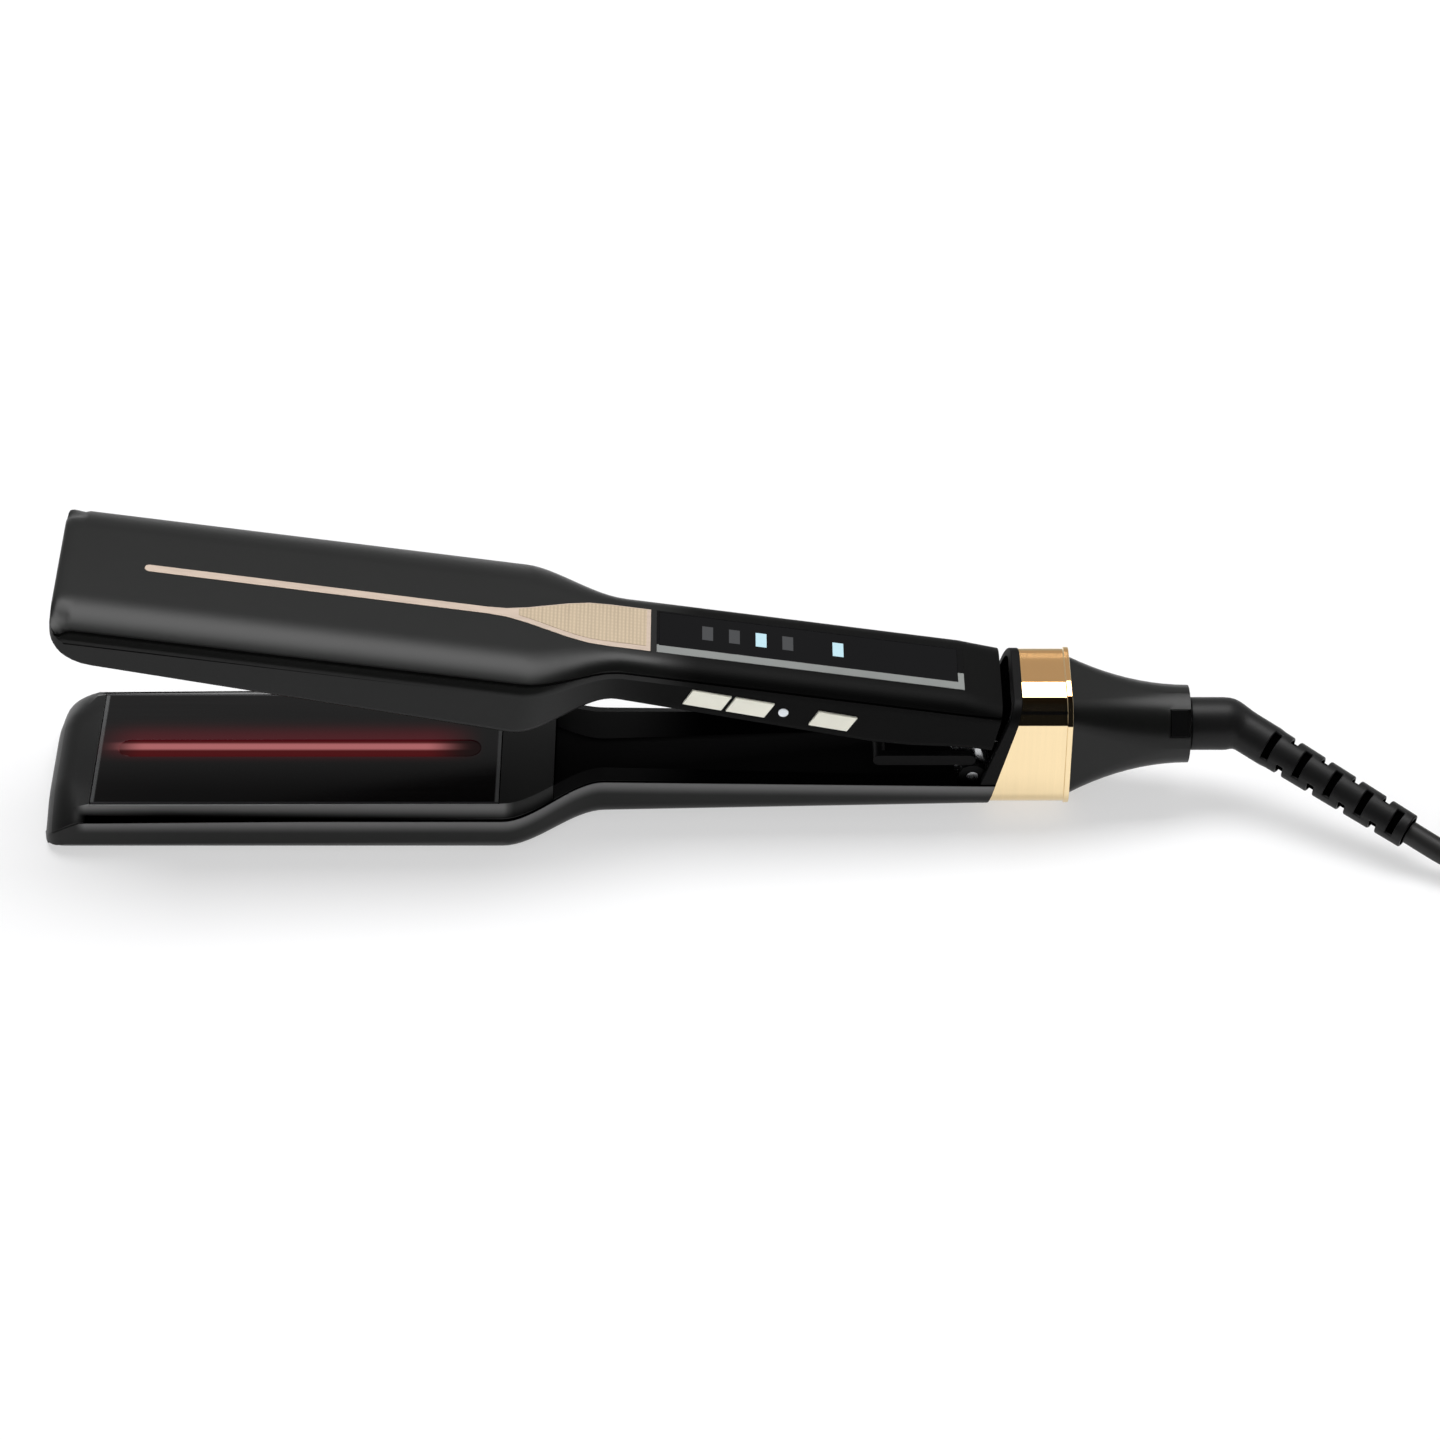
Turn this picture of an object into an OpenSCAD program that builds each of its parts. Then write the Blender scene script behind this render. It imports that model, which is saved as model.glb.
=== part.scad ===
// Wide-plate infrared hair straightening iron, lying open on the back of its lower arm.
// X runs from the tip to the cord end, Y across the plates, Z up from the surface it rests on.
// Places along the iron are given as s, the distance from the tip, and px(s) turns s into X.
// The upper arm is drawn closed on the lower one and then swung open about the hinge pin.

/* [Arms] */
// Width of the paddles that hold the plates
paddle_w = 60; // [54:1:70]
// Width of the handles
handle_w = 34; // [32:1:38]
// Length of the shoulder where a paddle narrows to its handle
shoulder_len = 30; // [24:1:40]
// Length of the handles from the shoulder to the rear of the arms
handle_len = 111; // [104:1:130]
// Wall thickness of the moulded arms
wall = 2; // [1.6:0.1:2.4]
// Plan radius of the tip corners
tip_r = 5; // [4:0.5:11]
// Height of the plate face above the resting surface
plate_z = 15; // [14:0.5:17]
// Angle between the arms at rest
open_angle = 12.2; // [8:0.1:13]

/* [Heater plates] */
// Length of a heater plate
plate_len = 120; // [90:1:130]
// Width of a heater plate
plate_w = 50; // [40:1:52]
// Thickness of a heater plate
plate_t = 3; // [2.5:0.1:3.4]
// Distance from the tip to the plates
tip_len = 14; // [12:1:20]
// Clearance all round a plate in its pocket
plate_gap = 0.3; // [0.2:0.05:0.5]
// Travel of a floating plate
float_travel = 0.8; // [0.4:0.1:1]
// Gap between the closed plates
closed_gap = 0.1; // [0.05:0.05:0.4]
// Distance from a plate's end to its infrared slot
ir_end = 6; // [4:0.5:20]
// Width of the infrared slot
ir_w = 7.5; // [5:0.5:9]

/* [Upper cover] */
// Height of the cover's crown above the plate face at the tip
cover_rise = 15.4; // [14:0.1:17]
// Rise of the cover's crown per millimetre of length
top_slope = 0.0545; // [0.04:0.0005:0.06]
// Depth of the cover's domed edge on the handle
dome_drop = 6.6; // [6:0.1:6.8]
// Depth of the cover's domed edge at the tip
tip_drop = 2.2; // [1.6:0.1:3]
// Width of the gold stripe
stripe_w = 3; // [2:0.1:4]
// Distance from the tip to the stripe
stripe_s = 26; // [20:1:40]
// Width of the gold block and of the display panel
panel_w = 19.2; // [16:0.1:19.4]
// Length of the display panel
panel_len = 91; // [80:1:94]
// Length of the gold block at its full width
block_len = 14; // [8:1:18]

/* [Buttons] */
// Length of a side button
button_len = 11.6; // [8:0.1:12]
// Height of a side button
button_h = 5.6; // [4:0.1:6]
// Lean of a side button's ends
button_lean = 2; // [0:0.1:2.5]
// Travel of a side button
button_travel = 0.5; // [0.3:0.1:0.7]
// Clearance all round a button in its window
button_gap = 0.15; // [0.1:0.05:0.25]
// How far a button stands out of the handle
button_out = 0.5; // [0.2:0.1:1]

/* [Hinge and rear end] */
// Diameter of the hinge pin
pin_d = 3.4; // [3:0.1:4]
// Radial running clearance of the pin and the swivel
run_gap = 0.05; // [0.02:0.01:0.1]
// Height of the hinge pin above the resting surface
pin_z = 16; // [15:0.1:16.5]
// Width of the gold ring
ring_w = 34; // [33:0.5:36]
// Height of the gold ring
ring_h = 37.3; // [36:0.1:38]
// Length of the gold ring along its top
ring_len = 14.7; // [10:0.1:20]
// Corner radius of the gold ring
ring_r = 6.5; // [5:0.1:9]
// Length of the rear cone
cone_len = 35.5; // [30:0.5:45]
// Diameter of the rear cone's end
cone_d = 23.1; // [21:0.1:26]
// Diameter of the swivel barrel
barrel_d = 15.8; // [14:0.1:18]
// Length of the swivel barrel
barrel_len = 14; // [10:0.5:18]

/* [Cord] */
// Diameter of the cord
cord_d = 7; // [7:0.1:7.4]
// Turns in the stored coil
coil_turns = 8; // [4:4:8]
// Centreline radius of the coil's inner turn
coil_r = 30; // [28:0.5:32]
// Diameter of a plug pin
plug_pin_d = 4; // [3.8:0.1:4.2]
// Length of a plug pin
plug_pin_len = 19; // [17:0.5:20]

/* [Hidden] */

// Stations along the iron
plate_s0 = tip_len;
plate_s1 = plate_s0 + plate_len;
shoulder_s = plate_s1 + 1;
grip_s = shoulder_s + shoulder_len;
arm_s1 = grip_s + handle_len;
pin_s = arm_s1 - 2.4;
ring_top_s = arm_s1 + 11.5;
ring_s1 = ring_top_s + ring_len;
cone_s1 = ring_s1 + cone_len;
end_gap = 0.3;
barrel_s0 = cone_s1 + end_gap;
barrel_s1 = barrel_s0 + barrel_len;
function px(s) = s - barrel_s1 / 2;

// Heights of the lower arm
fit = 0.2;
shell_corner = 5;
shell_rim = plate_z - 2.5;
rail_drop = 1.8;
bevel_w = 4.6;
rim_grip = 0.7;
rim_rear = 1.8;
rail_rear = 2.6;
heel_s = grip_s + 25;
heel_rise = 2.7;
grip_rise = 3.4;
grip_drop = 5.6;
dome_run = 5;
dome_flat = 15;
dome_power = 1.1;
heel_slope = 0.025;
nose_dip = 2;
nose_len = 6;
beak_drop = 9;
beak_len = 9;
rim_share = 0.8;
prow_rise = 12.5;
prow_len = 13.4;
frame_least = 1;
frame_z0 = plate_z - 7.5;
pocket_z = plate_z - 5.5;
frame_s1 = plate_s1 + 16;
liner_s1 = pin_s - 4.6;
liner_z = 9.5;
liner_rise = 3;
liner_t = 1.8;

// Heights of the upper arm, closed
upper_z = plate_z + closed_gap;
upper_floor = upper_z + 7;
upper_pocket = upper_z + 5;
handle_z = plate_z + 9;
cover_slope = atan(top_slope);
throat_s = pin_s - 33;
throat_rise = 4;
rear_dip = 1.6;
edge_z = 0.5;

// Slanted faces at the rear, leaning back as they rise
ring_z0 = pin_z - 10.5;
ring_z1 = ring_z0 + ring_h;
ring_mid = ring_z0 + ring_h / 2;
axis_z = ring_mid + 0.4;
ring_lean = 0.256;
seam_lean = 0.33;
seam_s = pin_s + 2.5;
seam_gap = 0.4;
function ring_face(z) = ring_top_s + (z - ring_z1) * ring_lean;
function seam_face(z) = seam_s + (z - pin_z) * seam_lean;

// Smooth step from 0 to 1, a blend of two values, and the draw-in of a quarter round
function ease(t) = let (u = min(1, max(0, t))) u * u * (3 - 2 * u);
function mix(a, b, t) = a + (b - a) * t;
function round_in(s, r) = s >= r ? 0 : r - sqrt(r * r - (r - s) * (r - s));
function bow(s, len, height) = s >= len ? 0 : height * (1 - sqrt(1 - pow(1 - s / len, 2)));
function nose(s) = bow(s, nose_len, nose_dip);
function beak(s) = bow(s, beak_len, beak_drop);
function prow(s) = bow(s, prow_len, prow_rise);

// Half width of both arms, and the heights of their edges
function shoulder(s) = ease((s - shoulder_s) / shoulder_len);
function along_grip(s) = max(0, s - grip_s) / handle_len;
function half_w(s) = mix(paddle_w, handle_w, shoulder(s)) / 2 - round_in(s, tip_r);
function shell_z0(s) = shoulder(s) * heel_rise + max(0, s - grip_s) * heel_slope + nose(s);
function rim_up(s) = shoulder(s) * grip_rise * (1 - along_grip(s)) + along_grip(s) * rim_rear;
function shell_z1(s) = shell_rim + shoulder(s) * rim_grip + rim_up(s) - beak(s) * rim_share;
function rail_w(s) = mix(bevel_w, rail_rear, min(1, max(0, (s - shoulder_s) / (throat_s - shoulder_s))));
function rail_z1(s) = plate_z + rim_up(s) - beak(s);
function crown_z(s) = plate_z + cover_rise + (s - tip_len) * top_slope;
function cover_z1(s) = crown_z(s) - nose(s) - rear_dip * ease((s - panel_s1) / (arm_s1 - panel_s1));
function cover_z0(s) = crown_z(s)
    - mix(mix(tip_drop, dome_drop, min(1, s / dome_run)), grip_drop, shoulder(s));
function rail_up(s) = mix(0, handle_z - upper_z, shoulder(s));
function frame_low(s) = min(cover_z0(s) - frame_least, upper_z + rail_up(s) + prow(s)
    + throat_rise * ease((s - throat_s) / (arm_s1 - throat_s)));
function bevel_h(s) = mix(rail_drop + max(0, s - plate_s0) / plate_len * 1.6, 2.5, shoulder(s));

// Stations of an arm from s0 to s1, close together at the tip and round the shoulder
function arm_stations(s0, s1) = [
    for (s = concat([0, 0.3, 0.8, 1.5, 2.4, 3.6, 5, 6.5, 8.5, 11],
                    [plate_s0, plate_s0 + plate_len / 2, plate_s1],
                    [for (i = [0:16]) shoulder_s + i * shoulder_len / 16],
                    [heel_s, throat_s, mix(throat_s, arm_s1, 0.33), mix(throat_s, arm_s1, 0.66),
                     mix(throat_s, arm_s1, 0.85)]))
        if (s > s0 + 0.1 && s < s1 - 0.1) s
];

// ---------------------------------------------------------------- general shapes

// Points of an elliptical arc in a [y, z] section
function arc(cy, cz, ry, rz, a0, a1, n) = [
    for (i = [0:n]) let (a = a0 + (a1 - a0) * i / n) [cy + ry * cos(a), cz + rz * sin(a)]
];

// Open channel path from the -Y rim under the floor to the +Y rim
function channel(w, z0, z1, ry, rz) = let (rise = min(rz, (z1 - z0) * 0.85)) concat(
    [[-w, z1]], arc(ry - w, z0 + rise, ry, rise, 180, 270, 6),
    arc(w - ry, z0 + rise, ry, rise, 270, 360, 6), [[w, z1]]);

// The same number of points in a shallow dish just under the rim
function dish(w, z1) = let (n = len(channel(1, 0, 1, 0.1, 0.1)) - 1) [
    for (i = [0:n]) let (t = 2 * i / n - 1) [w * t, z1 - 0.3 * (1 - t * t)]
];
function backwards(p) = [for (i = [len(p) - 1:-1:0]) p[i]];

// Section points set at station s, as 3-D points
function at(s, section) = [for (p = section) [px(s), p[0], p[1]]];

// One closed solid through rings that all have as many points, counter-clockwise from +X.
// With strips, its ends are strips between the first half of a ring and the second half back.
module loft(rings, strips = false) {
    m = len(rings[0]);
    n = len(rings);
    last = (n - 1) * m;
    sides = [
        for (i = [0:n - 2], j = [0:m - 1], k = [0, 1])
            let (a = i * m + j, b = i * m + (j + 1) % m)
                k == 0 ? [a, a + m, b + m] : [a, b + m, b]
    ];
    caps = strips
        ? [for (j = [0:m / 2 - 2]) each [
            [j, j + 1, m - 2 - j, m - 1 - j],
            [last + m - 1 - j, last + m - 2 - j, last + j + 1, last + j]]]
        : [[for (j = [0:m - 1]) j], [for (j = [m - 1:-1:0]) last + j]];
    polyhedron([for (r = rings, p = r) p], concat(sides, caps));
}

// Rounded rectangle in Y and Z, extruded along X from station s0 to s1
module rounded_bar(s0, s1, w, z0, z1, r) {
    translate([px(s0), 0, (z0 + z1) / 2])
        rotate([90, 0, 90])
            linear_extrude(s1 - s0) rounded_rect(w, z1 - z0, r);
}

module rounded_rect(w, h, r) {
    square([w - 2 * r, h], center = true);
    square([w, h - 2 * r], center = true);
    for (y = [-1, 1], z = [-1, 1])
        translate([y * (w / 2 - r), z * (h / 2 - r)]) circle(r, $fn = 48);
}

// A side view given as [s, z] points, extruded across the iron from y0 to y1
module side_prism(points, y0, y1) {
    translate([0, y1, 0])
        rotate([90, 0, 0])
            linear_extrude(y1 - y0) polygon([for (p = points) [px(p[0]), p[1]]]);
}

// A bar along the iron: stations s0 to s1, y0 to y1, z0 to z1
module bar(s0, s1, y0, y1, z0, z1) {
    translate([px(s0), y0, z0]) cube([s1 - s0, y1 - y0, z1 - z0]);
}

// A cylinder across the iron at station s and height z
module cross_pin(s, z, d, y0, y1) {
    translate([px(s), y1, z]) rotate([90, 0, 0]) cylinder(y1 - y0, d = d, $fn = 48);
}

// A cylinder along the iron from station s0 to s1
module along_pin(s0, s1, y, z, d) {
    translate([px(s0), y, z]) rotate([0, 90, 0]) cylinder(s1 - s0, d = d, $fn = 48);
}

// An upright cylinder at station s
module post(s, y, z0, z1, d) {
    translate([px(s), y, z0]) cylinder(z1 - z0, d = d, $fn = 48);
}

// Swings what is drawn closed to its place on the open upper arm
module opened() {
    translate([px(pin_s), 0, pin_z])
        rotate([0, open_angle, 0])
            translate([-px(pin_s), 0, -pin_z]) children();
}

// Lays what is drawn flat at the origin on the cover's crown at station s, lifted by up
module on_crown(s, up) {
    translate([px(s), 0, crown_z(s)])
        rotate([0, -cover_slope, 0])
            translate([0, 0, up]) children();
}

// ---------------------------------------------------------------- lower arm

shell_stations = concat([0], arm_stations(0, arm_s1 - 4), [arm_s1 - 4, ring_face(pin_z)]);

// Section of the lower shell: outer channel, then the inner one back
function shell_ring(s) = let (
    w = half_w(s),
    z0 = shell_z0(s),
    z1 = shell_z1(s),
    c = shell_corner,
    inner = s < wall
        ? dish(w - wall, z1)
        : channel(w - wall, z0 + wall, z1, c - wall, c - wall)
) concat(channel(w, z0, z1, c, c), backwards(inner));

// The last ring of the shell leans with the gold ring's front face
function leaned(ring) = [for (p = ring) [px(ring_face(p[2])), p[1], p[2]]];

screw_s = [grip_s + 8, heel_s + 34];
screw_head_d = 5;
screw_head_h = 1.2;
screw_d = 2.4;
screw_gap = 0.1;

module lower_outer_shell() {
    n = len(shell_stations);
    color("#1b1c1c") difference() {
        loft([
            for (i = [0:n - 1])
                let (s = shell_stations[i], ring = at(s, shell_ring(min(s, arm_s1))))
                    i == n - 1 ? leaned(ring) : ring
        ], true);
        for (s = screw_s) {
            post(s, 0, -1, shell_z0(s) + screw_head_h, screw_head_d + 2 * screw_gap);
            post(s, 0, -1, shell_z0(s) + 2 * wall, screw_d + 2 * screw_gap);
        }
    }
}

// Section of the lower frame: a stem inside the shell under a lip that covers the shell's rim.
// The stem starts behind the nose.
stem_s0 = 2.4;
lip_gap = 0.05;
lip_slope = 0.03;

function frame_section(s) = let (
    w = half_w(s) - fit,
    stem = w - wall,
    z0 = shell_z1(s) + lip_gap,
    z1 = rail_z1(s),
    foot = s > stem_s0 ? frame_z0 : z0 - 1.5 * lip_slope
) let (right = [[stem, foot], [stem, z0 - lip_slope], [w, z0],
                [w, max(z0 + 0.1, z1 - rail_drop)], [w - rail_w(s), z1]])
    concat(right, backwards([for (p = right) [-p[0], p[1]]]));

module lower_inner_frame() {
    step = 0.2;
    stations = concat([0, 0.3, 0.8, 1.5, stem_s0, stem_s0 + step],
                      arm_stations(stem_s0 + step, frame_s1), [frame_s1]);
    color("#161717") difference() {
        loft([for (s = stations) at(s, frame_section(s))], true);
        plate_pocket(pocket_z, plate_z + 1);
    }
}

module plate_pocket(z0, z1) {
    bar(plate_s0 - plate_gap, plate_s1 + plate_gap,
        -plate_w / 2 - plate_gap, plate_w / 2 + plate_gap, z0, z1);
}

// Trough of the lower handle: its lips cover the shell's rim and its floor hangs between them
function trough_z(s) = liner_z
    + liner_rise * (s - frame_s1) / (liner_s1 - frame_s1);

function liner_ring(s) = let (
    w = half_w(s) - fit,
    z0 = shell_z1(s) + lip_gap,
    z1 = rail_z1(s),
    floor_z = trough_z(s),
    stem = w - wall,
    inner = w - rail_w(s) - 0.3,
    lower = [[w, z0], [stem, z0], [stem, z0 - 2], [inner - 1, floor_z - liner_t]],
    upper = [[w, max(z0 + 0.1, z1 - rail_drop)], [w - rail_w(s), z1], [inner, z1 - 0.8],
             [inner - 2, floor_z]],
    flip = function(p) [for (q = p) [-q[0], q[1]]]
) concat(flip(lower), backwards(lower), upper, backwards(flip(upper)));

module lower_handle_liner() {
    s0 = frame_s1 + fit;
    stations = concat([s0], arm_stations(s0, liner_s1), [liner_s1]);
    boss_d = 6;
    color("#141515") difference() {
        union() {
            loft([for (s = stations) at(s, liner_ring(s))], true);
            for (s = screw_s)
                post(s, 0, shell_z0(s) + wall + 0.4, trough_z(s) - 0.5, boss_d);
        }
        for (s = screw_s)
            post(s, 0, 0, trough_z(s) - 0.8, screw_d + 2 * screw_gap);
    }
}

// A screw with its crossed head down, standing at height z0
module screw(s, z0, length) {
    slot = [3, 0.6, 0.5];
    translate([px(s), 0, z0]) difference() {
        union() {
            cylinder(screw_head_h - 0.2, d = screw_head_d, $fn = 48);
            cylinder(length, d = screw_d, $fn = 48);
        }
        for (a = [0, 90]) rotate(a) cube([slot[0], slot[1], 2 * slot[2]], center = true);
    }
}

module lower_screws() {
    color("#55585b")
        for (s = screw_s) screw(s, shell_z0(s) + 0.2, trough_z(s) - shell_z0(s) - 1.2);
}

ir_len = plate_len - 2 * ir_end;

module ir_slot(z0, height, gap) {
    translate([px(plate_s0 + plate_len / 2), 0, z0])
        linear_extrude(height) stadium(ir_len - 2 * gap, ir_w - 2 * gap);
}

module stadium(length, width) {
    square([length - width, width], center = true);
    for (x = [-1, 1]) translate([x * (length - width) / 2, 0]) circle(d = width, $fn = 48);
}

module lower_heater_plate() {
    color("#0c0c0d") difference() {
        bar(plate_s0, plate_s1, -plate_w / 2, plate_w / 2, plate_z - plate_t, plate_z);
        ir_slot(plate_z - plate_t - 1, plate_t + 2, 0);
    }
}

heater_t = 1.2;
heater_end = 8;
heater_len = plate_len - 2 * heater_end;
heater_w = (plate_w - ir_w) / 2 - 7;
upper_heater_w = plate_w * 0.48;

module lower_heaters() {
    y0 = ir_w / 2 + 3;
    color("#c9c2b4")
        for (m = [0, 1])
            mirror([0, m, 0])
                bar(plate_s0 + heater_end, plate_s0 + heater_end + heater_len, y0, y0 + heater_w,
                    plate_z - plate_t - heater_t, plate_z - plate_t);
}

pad_d = 5;
pad_inset = 3.5;

// Four pads at the corners of a plate's pocket, drawn pressed flat; z0 is where they stand
module float_pads(z0, height) {
    y = plate_w / 2 - pad_inset;
    for (s = [plate_s0 + pad_inset, plate_s1 - pad_inset], m = [0, 1])
        mirror([0, m, 0]) post(s, y, z0, z0 + height, pad_d);
}

module lower_float_pads() {
    color("#b9bcc0") float_pads(pocket_z, plate_z - plate_t - pocket_z - float_travel - 0.1);
}

module infrared_window() {
    color("#d01428") ir_slot(plate_z - plate_t + 0.9, plate_t - 1, 0.1);
}

module infrared_emitter() {
    d = 1.6;
    color("#ffb0a8") {
        along_pin(plate_s0 + 10, plate_s1 - 10, 0, pocket_z + d / 2 + 0.02, d);
        for (s = [plate_s0 + 8, plate_s1 - 10.2])
            bar(s, s + 2.2, -1.6, 1.6, pocket_z, pocket_z + d);
    }
}

fuse_d = 3.4;
fuse_len = 10;
fuse_s = plate_s1 - 50;

module thermal_fuse() {
    color("#d8d4c8") {
        along_pin(fuse_s - fuse_len / 2, fuse_s + fuse_len / 2, 8, wall + fuse_d / 2, fuse_d);
        along_pin(fuse_s - fuse_len, fuse_s + fuse_len, 8, wall + fuse_d / 2, 0.8);
    }
}

module terminal_block() {
    size = [10, 14, 5];
    s0 = plate_s1 - 16;
    color("#e6e0d0") difference() {
        bar(s0, s0 + size[0], -size[1] / 2, size[1] / 2, wall, wall + size[2]);
        for (y = [-4.2, 0, 4.2])
            post(s0 + size[0] / 2, y, wall + 2, wall + size[2] + 1, 2.2);
    }
}

// ---------------------------------------------------------------- hinge and rear end

shroud_y1 = handle_w / 2 - wall - 1;
shroud_y0 = shroud_y1 - 2.4;
shroud_len = 29.4;
shroud_s0 = pin_s - shroud_len;
shroud_z0 = pin_z + 4.3;
shroud_z1 = pin_z + 7.9;
foot_w = 8;

// Two long side plates with round ends, joined by a nose and standing on feet at the pin
module hinge_shroud() {
    mid = (shroud_z0 + shroud_z1) / 2;
    d = shroud_z1 - shroud_z0;
    foot_z0 = shell_z0(arm_s1) + wall + 1.1;
    color("#202122") difference() {
        union() {
            for (m = [0, 1]) mirror([0, m, 0]) {
                bar(shroud_s0 + d / 2, pin_s - 1, shroud_y0, shroud_y1, shroud_z0, shroud_z1);
                cross_pin(pin_s - 1, mid, d, shroud_y0, shroud_y1);
                bar(pin_s - foot_w / 2, pin_s + foot_w / 2, shroud_y0, shroud_y1, foot_z0, pin_z);
                cross_pin(pin_s, pin_z, foot_w, shroud_y0, shroud_y1);
            }
            cross_pin(shroud_s0 + d / 2, mid, d, -shroud_y1, shroud_y1);
        }
        cross_pin(pin_s, pin_z, pin_d + 0.02, -handle_w, handle_w);
    }
}

module hinge_pin() {
    color("#9a9da1") cross_pin(pin_s, pin_z, pin_d, -shroud_y1 - 0.2, shroud_y1 + 0.2);
}

// Torsion spring round the pin between the two lugs: a body with wound grooves and two legs
spring_turns = 6;
spring_body = 8;

module hinge_spring() {
    wire = spring_body / spring_turns;
    inner = pin_d / 2 + 0.35;
    color("#b9bcc0")
        translate([px(pin_s), spring_body / 2, pin_z])
            rotate([90, 0, 0])
                rotate_extrude($fn = 48)
                    polygon(concat(
                        [[inner, spring_body], [inner, 0]],
                        [for (i = [0:spring_turns - 1], k = [0, 1])
                            [inner + (k == 0 ? 0.9 : 1.6), (i + k * 0.5) * wire + wire * 0.25]],
                        [[inner + 0.9, spring_body]]));
}

// Clears all that stands in front of a slanted face
module slanted_cut(z0, z1, s_low, s_high) {
    side_prism([[s_low, z0], [s_high, z1], [s_high - paddle_w, z1], [s_low - paddle_w, z0]],
               -handle_w, handle_w);
}

collar_wall = 2.4;
collar_z0 = shell_z1(arm_s1) + 0.1;

// Arch over the hinge, between the rear of the upper arm and the gold ring
module rear_collar() {
    z1 = ring_z1 + 1;
    color("#1d1e1e") intersection() {
        difference() {
            rounded_bar(arm_s1 - 20, ring_top_s + 5, handle_w, ring_z0, ring_z1 + 0.3, ring_r);
            rounded_bar(arm_s1 - 21, ring_top_s + 6, handle_w - 2 * collar_wall,
                        ring_z0 - 9, ring_z1 + 0.3 - collar_wall, ring_r - collar_wall);
        }
        side_prism([
            [seam_face(collar_z0), collar_z0], [ring_face(collar_z0) - 0.02, collar_z0],
            [ring_face(z1) - 0.02, z1], [seam_face(z1), z1]
        ], -handle_w, handle_w);
    }
}

ring_wall = 2.2;
ring_lip = 0.5;

module gold_ring() {
    color("#e3c27c") difference() {
        union() {
            rounded_bar(arm_s1 - 8, ring_s1 - 1.6, ring_w, ring_z0, ring_z1, ring_r);
            rounded_bar(ring_s1 - 1.6, ring_s1, ring_w + 2 * ring_lip,
                        ring_z0 - ring_lip, ring_z1 + ring_lip, ring_r + ring_lip);
        }
        rounded_bar(arm_s1 - 9, ring_s1 + 1, ring_w - 2 * ring_wall,
                    ring_z0 + ring_wall, ring_z1 - ring_wall, ring_r - ring_wall);
        slanted_cut(ring_z0 - 5, ring_z1 + 5, ring_face(ring_z0 - 5), ring_face(ring_z1 + 5));
    }
}

// Closed outline of a rounded rectangle as [y, z] points, counter-clockwise
function rounded_points(w, h, r, cz) = concat(
    arc(w / 2 - r, cz - h / 2 + r, r, r, 270, 360, 6), arc(w / 2 - r, cz + h / 2 - r, r, r, 0, 90, 6),
    arc(r - w / 2, cz + h / 2 - r, r, r, 90, 180, 6), arc(r - w / 2, cz - h / 2 + r, r, r, 180, 270, 6));

spigot_s0 = ring_s1 - 6;
spigot_gap = 0.1;
journal_d = 12;
journal_s0 = cone_s1 - 10.5;
flange_d = 16;
flange_t = 1.9;
cone_cavity_d = 20;

// Rings of the cone: a spigot inside the gold ring, then a flare that thins to a round end
function cone_ring(t) = let (
    k = pow(1 - t, 2),
    w = mix(cone_d, ring_w - 2 * ring_wall + 1.2, k),
    h = mix(cone_d, ring_h - 2 * ring_wall + 1.2, k),
    r = mix(cone_d / 2 - 0.01, ring_r, k)
) rounded_points(w, h, r, mix(axis_z, ring_mid, k));
spigot_ring = rounded_points(ring_w - 2 * ring_wall - 2 * spigot_gap,
                             ring_h - 2 * ring_wall - 2 * spigot_gap, ring_r - ring_wall, ring_mid);

clip_w = 8;
clip_len = 6;
clip_depth = 2;
clip_gap = 0.15;
clip_roll = 50;

// The clip's block, on the camera side of the cone's end; grow widens it all round
module clip_block(grow) {
    translate([px(cone_s1 - clip_len), 0, axis_z])
        rotate([clip_roll, 0, 0])
            translate([-grow, -clip_w / 2 - grow, cone_d / 2 - clip_depth - grow])
                cube([clip_len + 2 * grow + (grow > 0 ? 1 : 0) - (grow > 0 ? 0 : 0.8),
                      clip_w + 2 * grow, clip_depth - 0.3 + (grow > 0 ? 4 : 0)]);
}

module rear_cone() {
    steps = 10;
    color("#1a1b1b") difference() {
        loft(concat(
            [at(spigot_s0, spigot_ring), at(ring_s1 + 0.02, spigot_ring)],
            [for (i = [0:steps]) at(mix(ring_s1 + 0.03, cone_s1, i / steps), cone_ring(i / steps))]
        ));
        along_pin(spigot_s0 - 1, journal_s0, 0, axis_z, cone_cavity_d);
        along_pin(spigot_s0 - 1, cone_s1 + 1, 0, axis_z, journal_d + 2 * run_gap);
        clip_block(clip_gap);
    }
}

module swivel_clip() {
    color("#2b2c2d") clip_block(0);
}

// ---------------------------------------------------------------- swivel and boot

boot_end = [px(400.6), -33, 11];
elbow_s = barrel_s1 + 1.5;
elbow = [px(elbow_s), 0, axis_z];
elbow_r = 6.3;
boot_r0 = 6.2;
boot_r1 = 5.2;
boot_ribs = 6;
boot_len = norm(boot_end - elbow);
boot_dir = (boot_end - elbow) / boot_len;

module swivel_barrel() {
    taper = 0.8;
    color("#1c1d1d") difference() {
        union() {
            along_pin(barrel_s0, barrel_s1 - taper, 0, axis_z, barrel_d);
            translate([px(barrel_s1 - taper), 0, axis_z])
                rotate([0, 90, 0])
                    cylinder(taper, barrel_d / 2, barrel_d / 2 - taper, $fn = 48);
            along_pin(journal_s0 - end_gap - 0.1, barrel_s0 + 0.1, 0, axis_z, journal_d);
            along_pin(journal_s0 - end_gap - flange_t, journal_s0 - end_gap, 0, axis_z, flange_d);
        }
        translate(elbow) sphere(elbow_r + 0.3, $fn = 48);
    }
}

// Turns what is drawn up +Z from the origin to run from point p along direction d
module aimed(p, d) {
    translate(p) rotate([0, acos(d[2]), atan2(d[1], d[0])]) children();
}

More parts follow.
